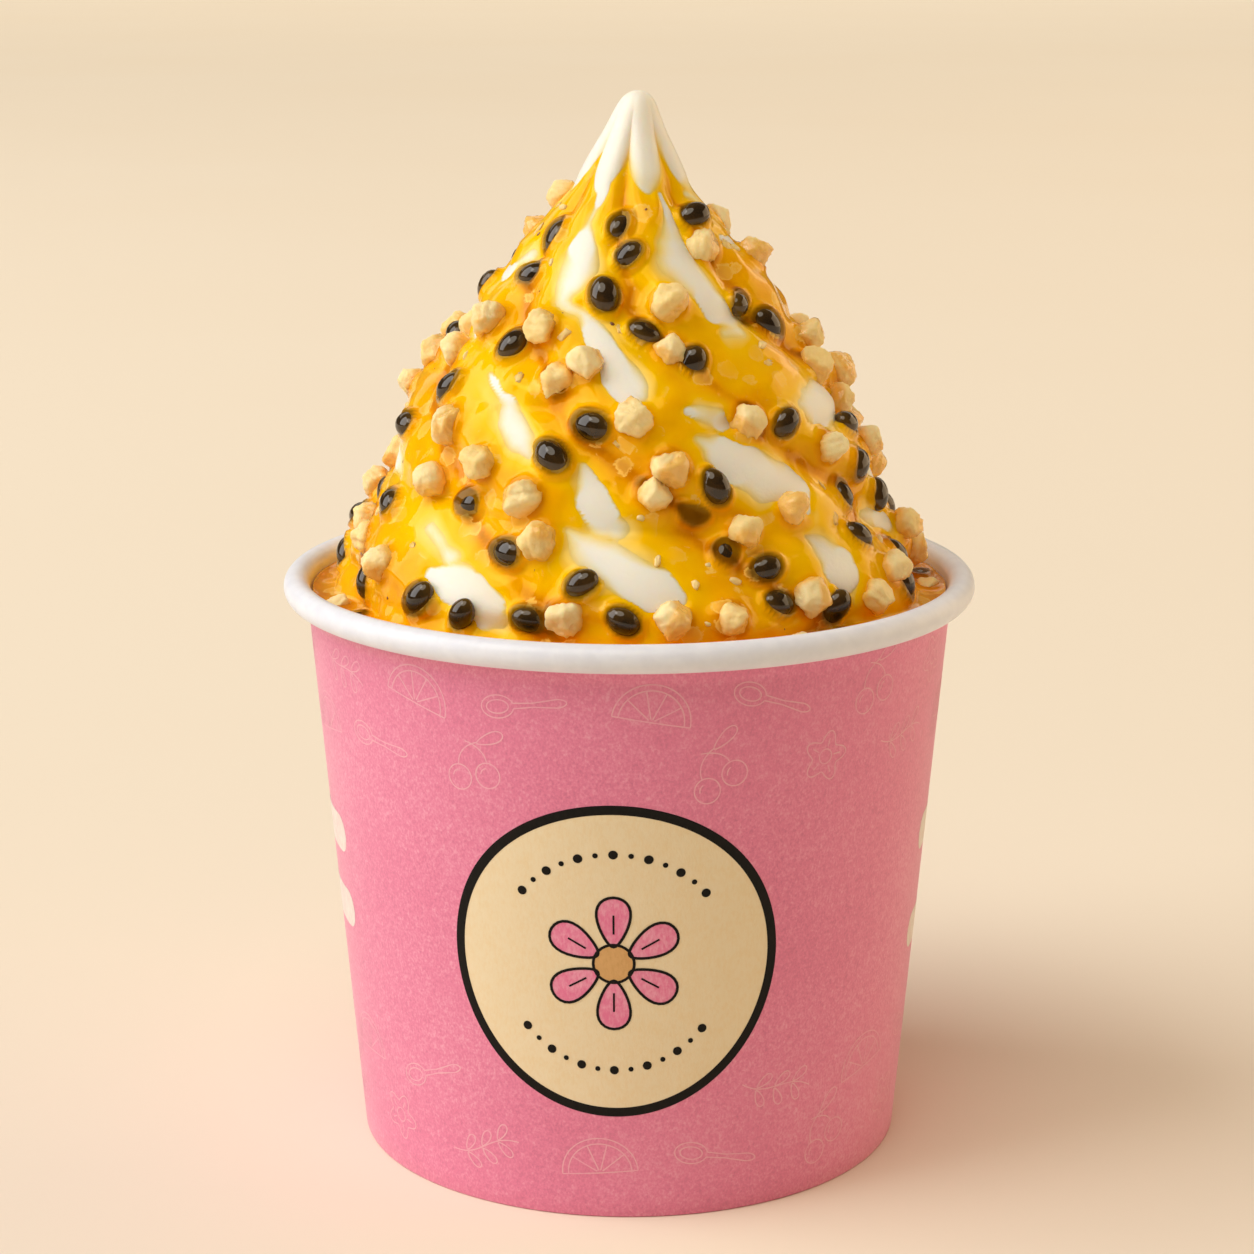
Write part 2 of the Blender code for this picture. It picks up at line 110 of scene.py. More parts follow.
# Bare patches, ridge by ridge: each one's top, bottom, half width and shift, the last two in ridges
BARE_PATCHES = (
    (
        (0.1335, 0.1190, 0.16, 0.05),
        (0.1190, 0.1095, 0.15, 0.02),
        (0.1090, 0.1058, 0.10, 0.22),
        (0.1050, 0.0955, 0.33, 0.12),
        (0.0925, 0.0855, 0.20, -0.06),
    ),
    (
        (0.1300, 0.1215, 0.30, 0.10),
        (0.1240, 0.1175, 0.18, 0.20),
        (0.1115, 0.1035, 0.38, 0.12),
        (0.0990, 0.0915, 0.30, 0.0),
        (0.0900, 0.0840, 0.26, 0.0),
    ),
    (
        (0.1300, 0.1210, 0.25, 0.0),
        (0.1170, 0.1070, 0.27, 0.0),
        (0.1030, 0.0940, 0.32, 0.0),
        (0.0910, 0.0840, 0.27, 0.0),
    ),
    (
        (0.1290, 0.1195, 0.25, 0.0),
        (0.1155, 0.1065, 0.30, 0.0),
        (0.1040, 0.0960, 0.23, 0.0),
        (0.0925, 0.0840, 0.32, 0.0),
    ),
    (
        (0.1310, 0.1225, 0.25, 0.0),
        (0.1190, 0.1085, 0.26, 0.0),
        (0.1055, 0.0975, 0.32, 0.0),
        (0.0940, 0.0865, 0.26, 0.0),
    ),
    (
        (0.1300, 0.1220, 0.25, 0.0),
        (0.1080, 0.1035, 0.28, 0.2),
        (0.1000, 0.0945, 0.38, -0.15),
        (0.0930, 0.0825, 0.30, 0.30),
    ),
    (
        (0.1310, 0.1225, 0.28, 0.05),
        (0.1180, 0.1145, 0.10, 0.0),
        (0.1085, 0.1020, 0.22, 0.17),
        (0.1010, 0.0940, 0.20, 0.22),
        (0.0938, 0.0845, 0.31, 0.05),
    ),
)
BARE_MARGIN = 0.0016
BARE_SIDE_MARGIN = 0.10

SEED_LENGTH = 0.0050
SEED_WIDTH = 0.0037
SEED_THICKNESS = 0.0032
SEED_SIZE = (SEED_LENGTH, SEED_WIDTH, SEED_THICKNESS)
SEED_LIFT = 0.0007
NUT_SIZE = 0.0050
NUT_LIFT = 0.0012
NUT_UNEVEN = 0.12
TOPPINGS_ON_CONE = 166
TOPPINGS_FROM = 0.0826
TOPPINGS_TO = 0.1330
CANDIDATES = 14
CLOSEST = 0.0046
POOL_TOPPING_TURN = 5.2
POOL_TOPPING_RADIUS = 0.0419
POOL_TOPPING_SINK = 0.0004
POOL_TOPPING_SIZE = 0.78
TOPPING_SMALLEST = 0.92
TOPPING_LARGEST = 1.08
SCATTER_SEED = 7
# Toppings that face the front, each by its azimuth and height. The scattered ones keep to the rest of the
# cone
FRONT_SEEDS = (
    (53, 0.1312), (-9, 0.1300), (-53, 0.1283), (1, 0.1266), (-55, 0.1235), (-11, 0.1220),
    (51, 0.1200), (65, 0.1170), (5, 0.1170), (-43, 0.1150), (22, 0.1136), (-60, 0.1090),
    (-9, 0.1064), (45, 0.1056), (-75, 0.1030), (75, 0.1030), (-19, 0.1024), (20, 0.0990),
    (15, 0.0954), (-41, 0.0950), (60, 0.0948), (-66, 0.0933), (-26, 0.0903), (21, 0.0898),
    (57, 0.0898), (29, 0.0882), (-9, 0.0875), (75, 0.0852), (-43, 0.0837), (30, 0.0836),
    (-1, 0.0832), (-66, 0.0829), (-33, 0.0827), (-20, 0.0826), (44, 0.0826), (66, 0.0828),
)
FRONT_NUTS = (
    (50, 0.1272), (16, 0.1210), (-31, 0.1180), (-58, 0.1175), (13, 0.1145), (-13, 0.1138),
    (-70, 0.1130), (-21, 0.1115), (1, 0.1074), (35, 0.1060), (-52, 0.1050), (58, 0.1017),
    (10, 0.1015), (-37, 0.1010), (-54, 0.0975), (-24, 0.0975), (5, 0.0974), (38, 0.0953),
    (26, 0.0930), (-19, 0.0920), (-73, 0.0880), (-57, 0.0866), (62, 0.0850), (38, 0.0845),
    (8, 0.0832), (-12, 0.0830), (19, 0.0828), (53, 0.0828),
)
FRONT_REACH = 67
RIDGE_TRIES = 6

# ---------------------------------------------------------------- sizes of the looks alone

# Bare strokes of ice that face the front: points along each, by azimuth, height and half its width
BARE_STROKES = (
    (
        (-28.5, 0.1360, 0.0009), (-28.5, 0.1330, 0.0006), (-29.5, 0.1310, 0.0005), (-28, 0.1296, 0.0012),
        (-26, 0.1276, 0.0019), (-25, 0.1258, 0.0022), (-26.5, 0.1236, 0.0018), (-28, 0.1214, 0.0008),
        (-24, 0.1206, 0.0004), (-17.5, 0.1199, 0.0004),
    ),
    (
        (-17.5, 0.1199, 0.0005), (-14, 0.1186, 0.0011), (-10, 0.1168, 0.0016), (-6.5, 0.1148, 0.0019),
        (-3, 0.1128, 0.0023), (0.5, 0.1114, 0.0021), (3.5, 0.1104, 0.0009),
    ),
    (
        (15.5, 0.1083, 0.0005), (20, 0.1077, 0.0011), (25, 0.1066, 0.0013), (29.5, 0.1056, 0.0007),
    ),
    (
        (17.5, 0.1048, 0.0008), (22, 0.1033, 0.0021), (27, 0.1016, 0.0029), (33, 0.1000, 0.0032),
        (39, 0.0987, 0.0030), (43.5, 0.0976, 0.0019), (43.5, 0.0946, 0.0007),
    ),
    (
        (41.5, 0.0914, 0.0005), (44.5, 0.0896, 0.0018), (46.5, 0.0878, 0.0027), (47.5, 0.0860, 0.0023),
    ),
    (
        (53.5, 0.1076, 0.0008), (58, 0.1072, 0.0022), (64, 0.1070, 0.0030), (70, 0.1068, 0.0030),
        (78, 0.1064, 0.0022),
    ),
    (
        (27.5, 0.1345, 0.0006), (29, 0.1325, 0.0005), (27, 0.1302, 0.0012), (26, 0.1282, 0.0020),
        (26.5, 0.1262, 0.0027), (30, 0.1244, 0.0024), (34.5, 0.1222, 0.0019), (37, 0.1202, 0.0020),
        (41.5, 0.1188, 0.0016), (48, 0.1183, 0.0008), (55, 0.1182, 0.0003),
    ),
    ((36, 0.1172, 0.0006), (44, 0.1172, 0.0008)),
    (
        (-13.5, 0.0936, 0.0005), (-9.5, 0.0919, 0.0017), (-5, 0.0904, 0.0023), (0, 0.0888, 0.0026),
        (4.5, 0.0870, 0.0027), (8.5, 0.0856, 0.0019), (6.5, 0.0836, 0.0012),
    ),
    (
        (-11.5, 0.1016, 0.0005), (-10, 0.0996, 0.0012), (-8.5, 0.0974, 0.0021), (-6, 0.0954, 0.0022),
        (-3, 0.0942, 0.0014),
    ),
    (
        (-46, 0.1117, 0.0003), (-42.5, 0.1108, 0.0008), (-39, 0.1096, 0.0005), (-35.5, 0.1085, 0.0011),
        (-32.5, 0.1065, 0.0018), (-29, 0.1046, 0.0019), (-25.5, 0.1028, 0.0007),
    ),
    ((-49, 0.0919, 0.0004), (-45, 0.0908, 0.0010), (-40, 0.0890, 0.0013)),
    (
        (-42.5, 0.0869, 0.0012), (-38, 0.0865, 0.0023), (-33, 0.0852, 0.0027), (-28.5, 0.0836, 0.0024),
        (-26, 0.0823, 0.0013),
    ),
    ((-71.5, 0.0972, 0.0005), (-74, 0.0982, 0.0013), (-80, 0.0986, 0.0016)),
    ((-66, 0.1156, 0.0006), (-73, 0.1170, 0.0008), (-79, 0.1172, 0.0005)),
    ((-66, 0.1260, 0.0008), (-75, 0.1234, 0.0009), (-82, 0.1236, 0.0006)),
    ((71, 0.0912, 0.0006), (75, 0.0906, 0.0011), (82, 0.0890, 0.0013)),
    ((62, 0.1342, 0.0004), (68, 0.1336, 0.0005)),
    ((67, 0.1284, 0.0006), (74, 0.1278, 0.0008)),
)
STROKES_REACH = 82
STROKE_BREADTH = 1.18
STROKE_LEAST = 0.0006
# How blunt a bare patch behind is below, and over what distance at most its edge counts
BARE_TAPER = 0.38
PATCH_EDGE = 0.0042

# How finely the round pieces are divided
CUP_SIDES = 256
SIDE_STEPS = 24
INSIDE_STEPS = 12
ROLL_STEPS = 44
ICE_COLUMNS = 336
ICE_ROWS = 250
ICE_ROWS_CROWD = 1.35
SAUCE_COLUMNS = 540
SAUCE_ROWS = 168
POOL_ROWS = 14
# Radius of a ring that shuts to a point, and how close points are that merge
POLE = 1e-7
DOUBLES = 1e-6

# The cup's board: the bend at its foot, how far its side and its print go into the roll, where the roll
# starts, in degrees, and how far the print keeps from the rim
FOOT_EDGE = 0.0003
FOOT_BEND = FOOT_EDGE * 0.3
SIDE_INTO_ROLL = 0.0009
PRINT_INTO_ROLL = 0.0007
ROLL_START = -128
PRINT_CLEAR_OF_RIM = 0.0030
# The bottom board: its top edge, inwards and downwards, and the bend under it
BOTTOM_EDGE = (0.0004, 0.0002)
SKIRT_BEND = 0.0008

# Side seam: how far round it reaches, how thick it stands, how far it keeps from the foot and the rim, and,
# in shares of its width, where it is full, where it ends and how deep it starts
BACK = 180.0
SEAM_TURN = 10.0
SEAM_LIFT = 0.00022
SEAM_EDGE = 0.0004
SEAM_FULL = 0.9
SEAM_END = 0.96
SEAM_SUNK = 0.3

# Badge: its place and size on the cup's side, how far print stands off the board, and the longest step of a
# line
BADGE_AZIMUTH = -2.8
BADGE_HEIGHT = 0.0374
BADGE_RADIUS = 0.02225
BADGE_LINE = 0.0013
BADGE_RINGS = 24
LIFT = 0.02 * MM
PRINT_STEP = 0.6 * MM
# The flower in the badge, and the dots over and under it
PETALS = 6
PETAL_FROM = 2.4 * MM
PETAL_TO = 9.4 * MM
PETAL_HALF_WIDTH = 2.9 * MM
PETAL_SWELL = 0.28
HEART_RADIUS = 2.7 * MM
FLOWER_LINE = 0.38 * MM
VEIN = ((4.2 * MM, 0), (6.9 * MM, 0))
VEIN_LINE = 0.26 * MM
DOT_CIRCLE = 15.4 * MM
DOT_STEP = 8.5
DOTS_EACH_WAY = 6
DOT_SIZES = (0.62 * MM, 0.36 * MM)

# Line drawings: the length that their numbers count, their reach, line and turn, and their rows, each by its
# height, how many it has, the first one's azimuth and the drawing that it starts with
MOTIF_UNIT = 0.92 * MM
MOTIF_REACH = 0.0062
MOTIF_LINE = 0.17 * MM
MOTIF_TURN = 28
MOTIF_ROWS = (
    (0.0728, 17, 4.0, 0),
    (0.0640, 17, 14.6, 2),
    (0.0175, 15, 6.0, 3),
    (0.0085, 15, 18.0, 1),
)
# A path of so many points whose ends are this close is a closed one
CLOSED_POINTS = 24
CLOSED_GAP = 0.8

# Pale bars at the cup's sides: each one's azimuth and height, and the size of all
BAR_PLACES = ((-90.0, 0.0467), (-90.0, 0.0357), (95.0, 0.0460), (95.0, 0.0315))
BAR_LENGTH = 0.0335
BAR_BREADTH = 0.0055

# The ice: below the tip, how far down the painted shade in its grooves grows in
GROOVE_SHADE_OVER = 0.012

# Random waves, each by its length and its seed
EDGE_WAVES = (0.0050, 21)
EDGE_RIPPLES = (0.0020, 22)
FILM_WAVES = (0.017, 23)
SAUCE_WAVES = (0.0052, 24)
SAUCE_RIPPLES = (0.0022, 25)
SOFT_WAVES = (0.007, 27)
POOL_WAVES = (0.004, 31)
# Shortest and longest wave, in shares of the length
WAVE_SPREAD = (0.7, 1.5)

# The sauce: its film on the crests, how round it fills the grooves, how high it reaches, and how far above
# the pool's level its foot starts
FILM = 0.00095
FILM_LEAST = 0.00045
FILM_CONTRAST = 1.4
FILL_FROM = 0.74
SAUCE_TOP_ON_RIDGE = 0.1342
SAUCE_TOP_IN_GROOVE = 0.1395
SAUCE_TOP_CURVE = 1.5
SAUCE_TOP_SLOPE = 0.5
SAUCE_REACH = 0.1425
SAUCE_FOOT = 0.0005
SAUCE_BELOW_BARE = 0.00035
BARE_SLOPE = 0.3
EDGE_THINNING = 0.0016
EDGE_WOBBLE = 0.00030
EDGE_WOBBLE_FINE = 0.15
SAUCE_WAVE = 0.00017
SAUCE_WAVE_FINE = 0.12
SAUCE_WAVE_FROM_EDGE = 0.002

# Its edge is crisp or soft by a random field about a middle. How far thin sauce stains the ice beyond the
# edge
SOFT_MIDDLE = 0.4
SOFT_SPREAD = 0.7
WASH_LEAST = 0.00010
WASH_MOST = 0.0014
WASH_HELD_BACK = 0.45

# The sauce's tone at its edge, thin and deep, over what distance it comes in, and at what depth it is deep
TONE_AT_EDGE = 0.10
TONE_THIN = 0.12
TONE_DEEP = 0.62
TONE_OVER = 0.0007
TONE_OVER_SOFT = 0.0022
DEEP_AT = 0.0012
DEEP_IN_GROOVE = 1.4

# Sauce that climbs the toppings: how high and how far from a seed, then from a nut, and its tone there,
# deeper over a seed, and painted contact shade in a ring round a nut
TOPPING_NEAR = 0.0062
SAC_HEIGHT = 0.0008
SAC_REACH = 0.0008
SAC_FLAT = 0.45
SAC_SLOPE = 0.75
CLIMB_HEIGHT = 0.0006
CLIMB_REACH = 0.00045
CLIMB_EDGE = 0.0002
TONE_ON_SEED = 0.16
NUT_CONTACT_SHADE = 0.15

# The dark halo of a seed: its reach, and how fast it fades
SEED_SHADE_REACH = 0.0008
SEED_SHADE_FADE = 1.8

# The pool: its lip at the cup's side, its rise at the cone's foot, its waves, and its tone
POOL_LIP = 0.0005
POOL_LIP_REACH = 0.0006
POOL_FOOT_REACH = 0.0009
POOL_WAVE = 0.00008
POOL_CLIMB = 0.8
POOL_TONE = 0.42
POOL_TONE_MORE = 0.2
POOL_TONE_OVER = 0.0025

# Seeds: how much narrower one end is and how much broader the other, how brown the ends, how wet the foot
SEED_NARROW = 0.13
SEED_BROAD = 0.03
SEED_END_TONE = 0.7
SEED_FOOT_TONE = 0.9

# Nuts: the flat cuts, by number, depth from the middle and crispness, the ball that they cut, and the chips
# on them, each by its wave's length, its seed and its height
NUT_BUMPS = 12
NUT_BUMP_WIDTH = 10
NUT_CUTS = 13
NUT_CUT_DEPTHS = (0.72, 0.96)
NUT_CUT_LEAST = 0.05
NUT_CRISPNESS = 34.0
NUT_BALL = 1.04
NUT_CHIPS = ((0.85, 5, 0.04), (0.42, 6, 0.034), (0.21, 8, 0.016))
NUT_CHIPS_APART = 9

# The side of a nut that sauce soaks, and painted shade, leaning away from the key light: which way it
# faces, where it starts and fades, in half nuts from the middle, and its strength
SOAK_AND_SHADE_WAY = ((0.5, 1.0), (0.0, 0.6), (-0.6, 0.8))
SOAK_AND_SHADE_EDGE = (-0.35, 0.9)
SOAK_AND_SHADE_FADE = 0.28
SOAK_AND_SHADE_MOST = 0.9

# How far above a topping's middle it is wet, for a seed and for a nut, and over what height that fades
SEED_WET_TO = 0.0016
NUT_WET_TO = 0.0012
WET_OVER = 0.0013

# Bits on the sauce: how many, from what size to what size, how thick they are for it, and their seed
CRUMBS = (40, (0.8 * MM, 1.7 * MM), 0.75, 41)
# The pale flecks are partly pulp and partly painted glints of highlight on the sauce
FLECKS_AND_GLINTS = (40, (0.8 * MM, 1.8 * MM), 0.16, 42)
SPECKS = (26, (0.22 * MM, 0.5 * MM), 0.5, 43)
BIT_FACES = 3
BIT_LENGTHS = (0.9, 1.6)
BIT_BREADTHS = (0.6, 1.0)
BIT_SINK = 0.2
BIT_WET = 0.35
BIT_TONE = 0.3
BITS_FROM = TOPPINGS_FROM - 0.002
BITS_TO = 0.134
BIT_CLEARANCE = 0.0002
BIT_SAUCE_LEAST = 0.05 * MM
SHRED_UNEVEN = 0.25
SHRED_WAVES = (1.6, 6, 4)
SHRED_SCALE = 3
SHREDS_APART = 50

# Camera, as fitted to the photograph
CAMERA_PLACE = (0.0, -0.4219, 0.1752)
CAMERA_TILT = 76.354
CAMERA_LENS = 87.94
CAMERA_SENSOR = 36.0
CAMERA_SHIFT = -0.0018
CAMERA_NEAR = 0.01

# Studio
SUNDAE_MIDDLE = (0.0, 0.0, 0.075)
FAR_FLOOR = (0.0, 5.0, 0.0)
BACKDROP_LAMP_HEIGHT = 2.6
FLOOR_SIZE = 20.0
ROOM_LIGHT = 0.14
ROOM_SEEN = 0.84

# Colours, as red, green and blue out of 255
PINK = (236, 127, 167)
PINK_DEEP = (216, 112, 150)
PINK_PALE = (246, 170, 196)
BOARD_WHITE = (238, 241, 252)
BOARD_SHADE = (231, 234, 246)
BLACK = (6, 5, 4)
ICE_WHITE = (250, 245, 234)
# Painted shade of the ice in its grooves, warm and darker
ICE_GROOVE_SHADE = (246, 220, 176)
SAUCE_PALE = (255, 220, 118)
SAUCE_YELLOW = (255, 200, 0)
SAUCE_GOLD = (250, 177, 0)
SAUCE_DEEP = (216, 131, 0)
SAUCE_DARK = (150, 88, 0)
SAC_PALE = (255, 205, 96)
SEED_BLACK = (38, 25, 10)
SEED_BROWN = (78, 52, 18)
SEED_OLIVE = (86, 62, 16)
SEED_SHADE = (80, 53, 4)
NUT_PALE = (253, 232, 178)
NUT_TAN = (253, 220, 146)
# Deeper nut colour, where sauce wets a nut and on its painted shaded side
NUT_WET_AND_SHADE = (251, 188, 66)
# Pale colour of pulp, also of the pale flecks that are partly painted glints of highlight
FLECK = (255, 212, 136)
SPECK = (112, 52, 14)
SPECK_PALE = (150, 84, 24)
FLOOR_PALE = (240, 230, 214)
FLOOR_WARM = (236, 220, 196)
ROOM = (255, 226, 186)
KEY_WHITE = (1.0, 1.0, 1.0)
FILL_AMBER = (1.0, 0.74, 0.46)
BACKDROP_CREAM = (1.0, 0.92, 0.8)
SKY_CREAM = (1.0, 0.92, 0.78)

# Inks of the print, each with its tone where the fibres show through
INKS = {
    "badge_cream": ((243, 226, 192), (241, 219, 178)),
    "badge_ink": (BLACK, (20, 16, 14)),
    "badge_pink": (PINK, PINK_PALE),
    "badge_biscuit": ((222, 176, 118), (212, 164, 104)),
    "line_ink": ((246, 188, 200), PINK_PALE),
    "bar_ink": ((238, 232, 224), (238, 214, 210)),
}


# ---------------------------------------------------------------- nodes of a material


def linear(colour):
    """A colour out of 255 as the linear red, green, blue and alpha that a shader takes."""
    shares = [c / 255 for c in colour]
    return tuple(s / 12.92 if s <= 0.04045 else ((s + 0.055) / 1.055) ** 2.4 for s in shares) + (1.0,)


class Value:
    """A number or a colour in a tree of nodes. Python's operators on a number add Math nodes."""

    def __init__(self, nodes, socket):
        self.nodes = nodes
        self.socket = socket

    def maths(self, operation, *operands):
        return self.nodes.node("Math", {"operation": operation}, operands)

    def __add__(self, other):
        return self.maths("ADD", self, other)

    def __radd__(self, other):
        return self.maths("ADD", other, self)

    def __sub__(self, other):
        return self.maths("SUBTRACT", self, other)

    def __rsub__(self, other):
        return self.maths("SUBTRACT", other, self)

    def __mul__(self, other):
        return self.maths("MULTIPLY", self, other)

    def __rmul__(self, other):
        return self.maths("MULTIPLY", other, self)

    def between(self, low, high):
        """0 at low, 1 at high, smooth between them and held beyond them."""
        settings = {"interpolation_type": "SMOOTHSTEP"}
        return self.nodes.node("MapRange", settings, {"Value": self, "From Min": low, "From Max": high})


class Nodes:
    """A tree of nodes under way."""

    def __init__(self, tree):
        self.tree = tree

    def put(self, socket, value):
        """Links a Value to a socket, or gives the socket a plain number, vector or colour."""
        if isinstance(value, Value):
            self.tree.links.new(value.socket, socket)
        else:
            socket.default_value = value

    def node(self, kind, settings, sockets, output=0):
        """Adds a node: its type, its settings, what its sockets take, and the output wanted."""
        made = self.tree.nodes.new("ShaderNode" + kind)
        for name, value in settings.items():
            if name == "stops":
                self.set_stops(made.color_ramp, value)
            else:
                setattr(made, name, value)
        pairs = sockets.items() if isinstance(sockets, dict) else enumerate(sockets)
        for socket, value in pairs:
            self.put(made.inputs[socket], value)
        return Value(self, made.outputs[output])

    def set_stops(self, ramp, stops):
        """Gives a colour ramp its stops, each a position and a colour out of 255."""
        while len(ramp.elements) < len(stops):
            ramp.elements.new(0.5)
        for element, (position, colour) in zip(ramp.elements, stops):
            element.position = position
            element.color = linear(colour)


class Finish(Nodes):
    """A material under way: a Principled shader, and the nodes that feed it."""

    def __init__(self, name, **sockets):
        self.material = bpy.data.materials.new(name)
        self.material.use_nodes = True
        super().__init__(self.material.node_tree)
        self.shader = self.tree.nodes["Principled BSDF"]
        for socket, value in sockets.items():
            self.feed(socket.replace("_", " "), value)
        self.place = self.node("TexCoord", {}, {}, "Object")

    def feed(self, socket, value):
        self.put(self.shader.inputs[socket], value)

    def attribute(self, name):
        """A number that each point of the mesh holds."""
        return self.node("Attribute", {"attribute_name": name}, {}, "Fac")

    def noise(self, scale, detail=2.0, roughness=0.5, stretch=None, distortion=0.0):
        """Random cloud from 0 to 1, about 0.5, with a scale in clouds to the metre."""
        place = self.place
        if stretch:
            place = self.node("Mapping", {}, {"Vector": place, "Scale": stretch})
        sockets = {"Vector": place, "Scale": scale, "Detail": detail}
        sockets.update({"Roughness": roughness, "Distortion": distortion})
        return self.node("TexNoise", {}, sockets, "Fac")

    def ramp(self, share, stops):
        """A colour along a ramp, by a number from 0 to 1."""
        return self.node("ValToRGB", {"stops": stops}, [share])

    def mix(self, share, first, second):
        """A colour between two, each a Value or a colour out of 255."""
        ends = [c if isinstance(c, Value) else linear(c) for c in (first, second)]
        return self.node("Mix", {"data_type": "RGBA"}, {0: share, 6: ends[0], 7: ends[1]}, 2)

    def bump(self, height, depth):
        """Relief of a depth in metres for a height from 0 to 1."""
        self.feed("Normal", self.node("Bump", {}, {"Height": height, "Distance": depth, "Strength": 1.0}))


def printed_board():
    """Pink print on fibrous board: fine fibres, a soft mottle, and a dry sheen."""
    finish = Finish("printed_board", Specular_IOR_Level=0.85, Sheen_Weight=0.32, Sheen_Roughness=0.4)
    fibres = finish.noise(3000.0, detail=3.0, roughness=0.6, stretch=(1.0, 1.0, 0.8))
    mottle = finish.noise(900.0, detail=3.0, roughness=0.6)
    cloud = finish.noise(45.0)
    shade = fibres * 0.6 + mottle * 0.25 + cloud * 0.15
    finish.feed("Base Color", finish.ramp(shade, ((0.32, PINK_DEEP), (0.5, PINK), (0.68, PINK_PALE))))
    finish.feed("Roughness", 0.52 + mottle * 0.12)
    finish.bump(fibres * 0.6 + mottle * 0.4, depth=0.04 * MM)
    return finish.material


def plain_board():
    """White coated board of the rolled rim, the inside and the bottom."""
    finish = Finish("plain_board", Subsurface_Weight=0.12, Subsurface_Scale=0.6 * MM, Specular_IOR_Level=0.45)
    finish.feed("Subsurface Radius", (1.0, 0.8, 0.6))
    mottle = finish.noise(380.0, detail=3.0, roughness=0.6)
    finish.feed("Base Color", finish.mix(mottle.between(0.3, 0.7), BOARD_SHADE, BOARD_WHITE))
    finish.feed("Roughness", 0.32 + mottle * 0.08)
    finish.bump(mottle, depth=0.008 * MM)
    return finish.material


def ink(name):
    """Flat print on the board: its colour lets a little of the fibres through."""
    colour, worn = INKS[name]
    finish = Finish(name, Specular_IOR_Level=0.2)
    fibres = finish.noise(2600.0, detail=3.0, roughness=0.65, stretch=(1.0, 1.0, 0.45))
    mottle = finish.noise(420.0, detail=4.0, roughness=0.6)
    wear = (fibres * 0.6 + mottle * 0.4).between(0.38, 0.68)
    finish.feed("Base Color", finish.mix(wear, colour, worn))
    finish.feed("Roughness", 0.5 + mottle * 0.12)
    finish.bump(fibres, depth=0.03 * MM)
    return finish.material


def soft_serve_finish():
    """Cold dense ice: white, with painted shade, warm and darker, in its grooves, a fine frozen grain,
    and stained by thin sauce.
    """
    finish = Finish("soft_serve", Subsurface_Weight=0.55, Subsurface_Scale=2.2 * MM, Specular_IOR_Level=0.4)
    finish.feed("Subsurface Radius", (1.0, 0.72, 0.48))
    finish.feed("Coat Weight", 0.25)
    finish.feed("Coat Roughness", 0.25)
    melt = finish.noise(160.0, detail=3.0)
    grain = finish.noise(1500.0, detail=3.0, roughness=0.6)
    # Painted shade: the groove field warms and darkens the ice in its grooves, mixed with random melt tone
    groove_shade_and_melt = finish.attribute("groove") * 0.7 + melt * 0.3
    ice = finish.mix(groove_shade_and_melt.between(0.2, 0.95), ICE_WHITE, ICE_GROOVE_SHADE)
    wash = finish.attribute("wash")
    wash = wash + (melt - 0.5) * wash.between(0.0, 0.3) * 0.5
    ice = finish.mix(wash.between(0.05, 0.6), ice, SAUCE_PALE)
    finish.feed("Base Color", finish.mix(wash.between(0.45, 1.0), ice, SAUCE_YELLOW))
    finish.feed("Roughness", 0.38 + grain * 0.16)
    finish.bump(melt * 0.6 + grain * 0.4, depth=0.15 * MM)
    return finish.material


def pulp_sacs(finish, pulp, depth):
    """Where deep sauce shows the skins of pulp sacs: from 0 to 1 within each sac, and on its brim."""
    cells = {"Vector": finish.place, "Scale": 240.0}
    away = finish.node("TexVoronoi", {}, cells, "Distance") + (pulp - 0.5) * 0.55
    some = finish.node("TexVoronoi", {}, cells, "Color").between(0.44, 0.50)
    sac = (1 - away.between(0.30, 0.36)) * some * depth.between(0.16, 0.3)
    return sac, away.between(0.22, 0.30) * sac


def sauce_finish():
    """Clear fruit sauce: its colour deepens with its depth over the ice and with painted contact shade round
    the nuts, and seeds show darkly through it.
    """
    finish = Finish("sauce", IOR=1.46, Roughness=0.05, Subsurface_Weight=0.15)
    finish.feed("Subsurface Scale", 1.0 * MM)
    finish.feed("Subsurface Radius", (1.0, 0.62, 0.05))
    finish.feed("Specular Tint", (1.0, 0.70, 0.14, 1.0))
    # The depth field also carries painted contact shade round the nuts
    depth = finish.attribute("depth")
    pulp = finish.noise(560.0, detail=4.0, roughness=0.62, distortion=0.8)
    cloud = finish.noise(150.0, detail=3.0, distortion=0.5)
    seen = depth + ((cloud - 0.5) * 0.42 + (pulp - 0.5) * 0.22) * depth.between(0.08, 0.3)
    stops = (
        (0.0, SAUCE_PALE),
        (0.12, SAUCE_YELLOW),
        (0.42, SAUCE_GOLD),
        (0.74, SAUCE_DEEP),
        (1.0, SAUCE_DARK),
    )
    body = finish.mix(pulp.between(0.64, 0.76) * 0.3, finish.ramp(seen, stops), FLECK)
    sac, brim = pulp_sacs(finish, pulp, depth)
    body = finish.mix(sac * 0.42 + brim * 0.45, body, SAC_PALE)
    finish.feed("Base Color", finish.mix(finish.attribute("seed_shade") * 0.8, body, SEED_SHADE))
    finish.bump(cloud * 0.8 + pulp * 0.2, depth=0.04 * MM)
    return finish.material


def seed_finish():
    """Hard black-brown seed under a skin of juice."""
    finish = Finish("seed", Specular_IOR_Level=0.0, Roughness=0.5)
    finish.feed("Coat Weight", 1.0)
    finish.feed("Coat IOR", 1.56)
    finish.feed("Coat Roughness", 0.04)
    blotch = finish.noise(420.0, detail=3.0)
    shade = finish.mix(blotch.between(0.45, 0.75) * 0.5, SEED_BLACK, SEED_BROWN)
    finish.feed("Base Color", finish.mix(finish.attribute("wet"), shade, SEED_OLIVE))
    finish.bump(finish.noise(2400.0), depth=0.03 * MM)
    return finish.material


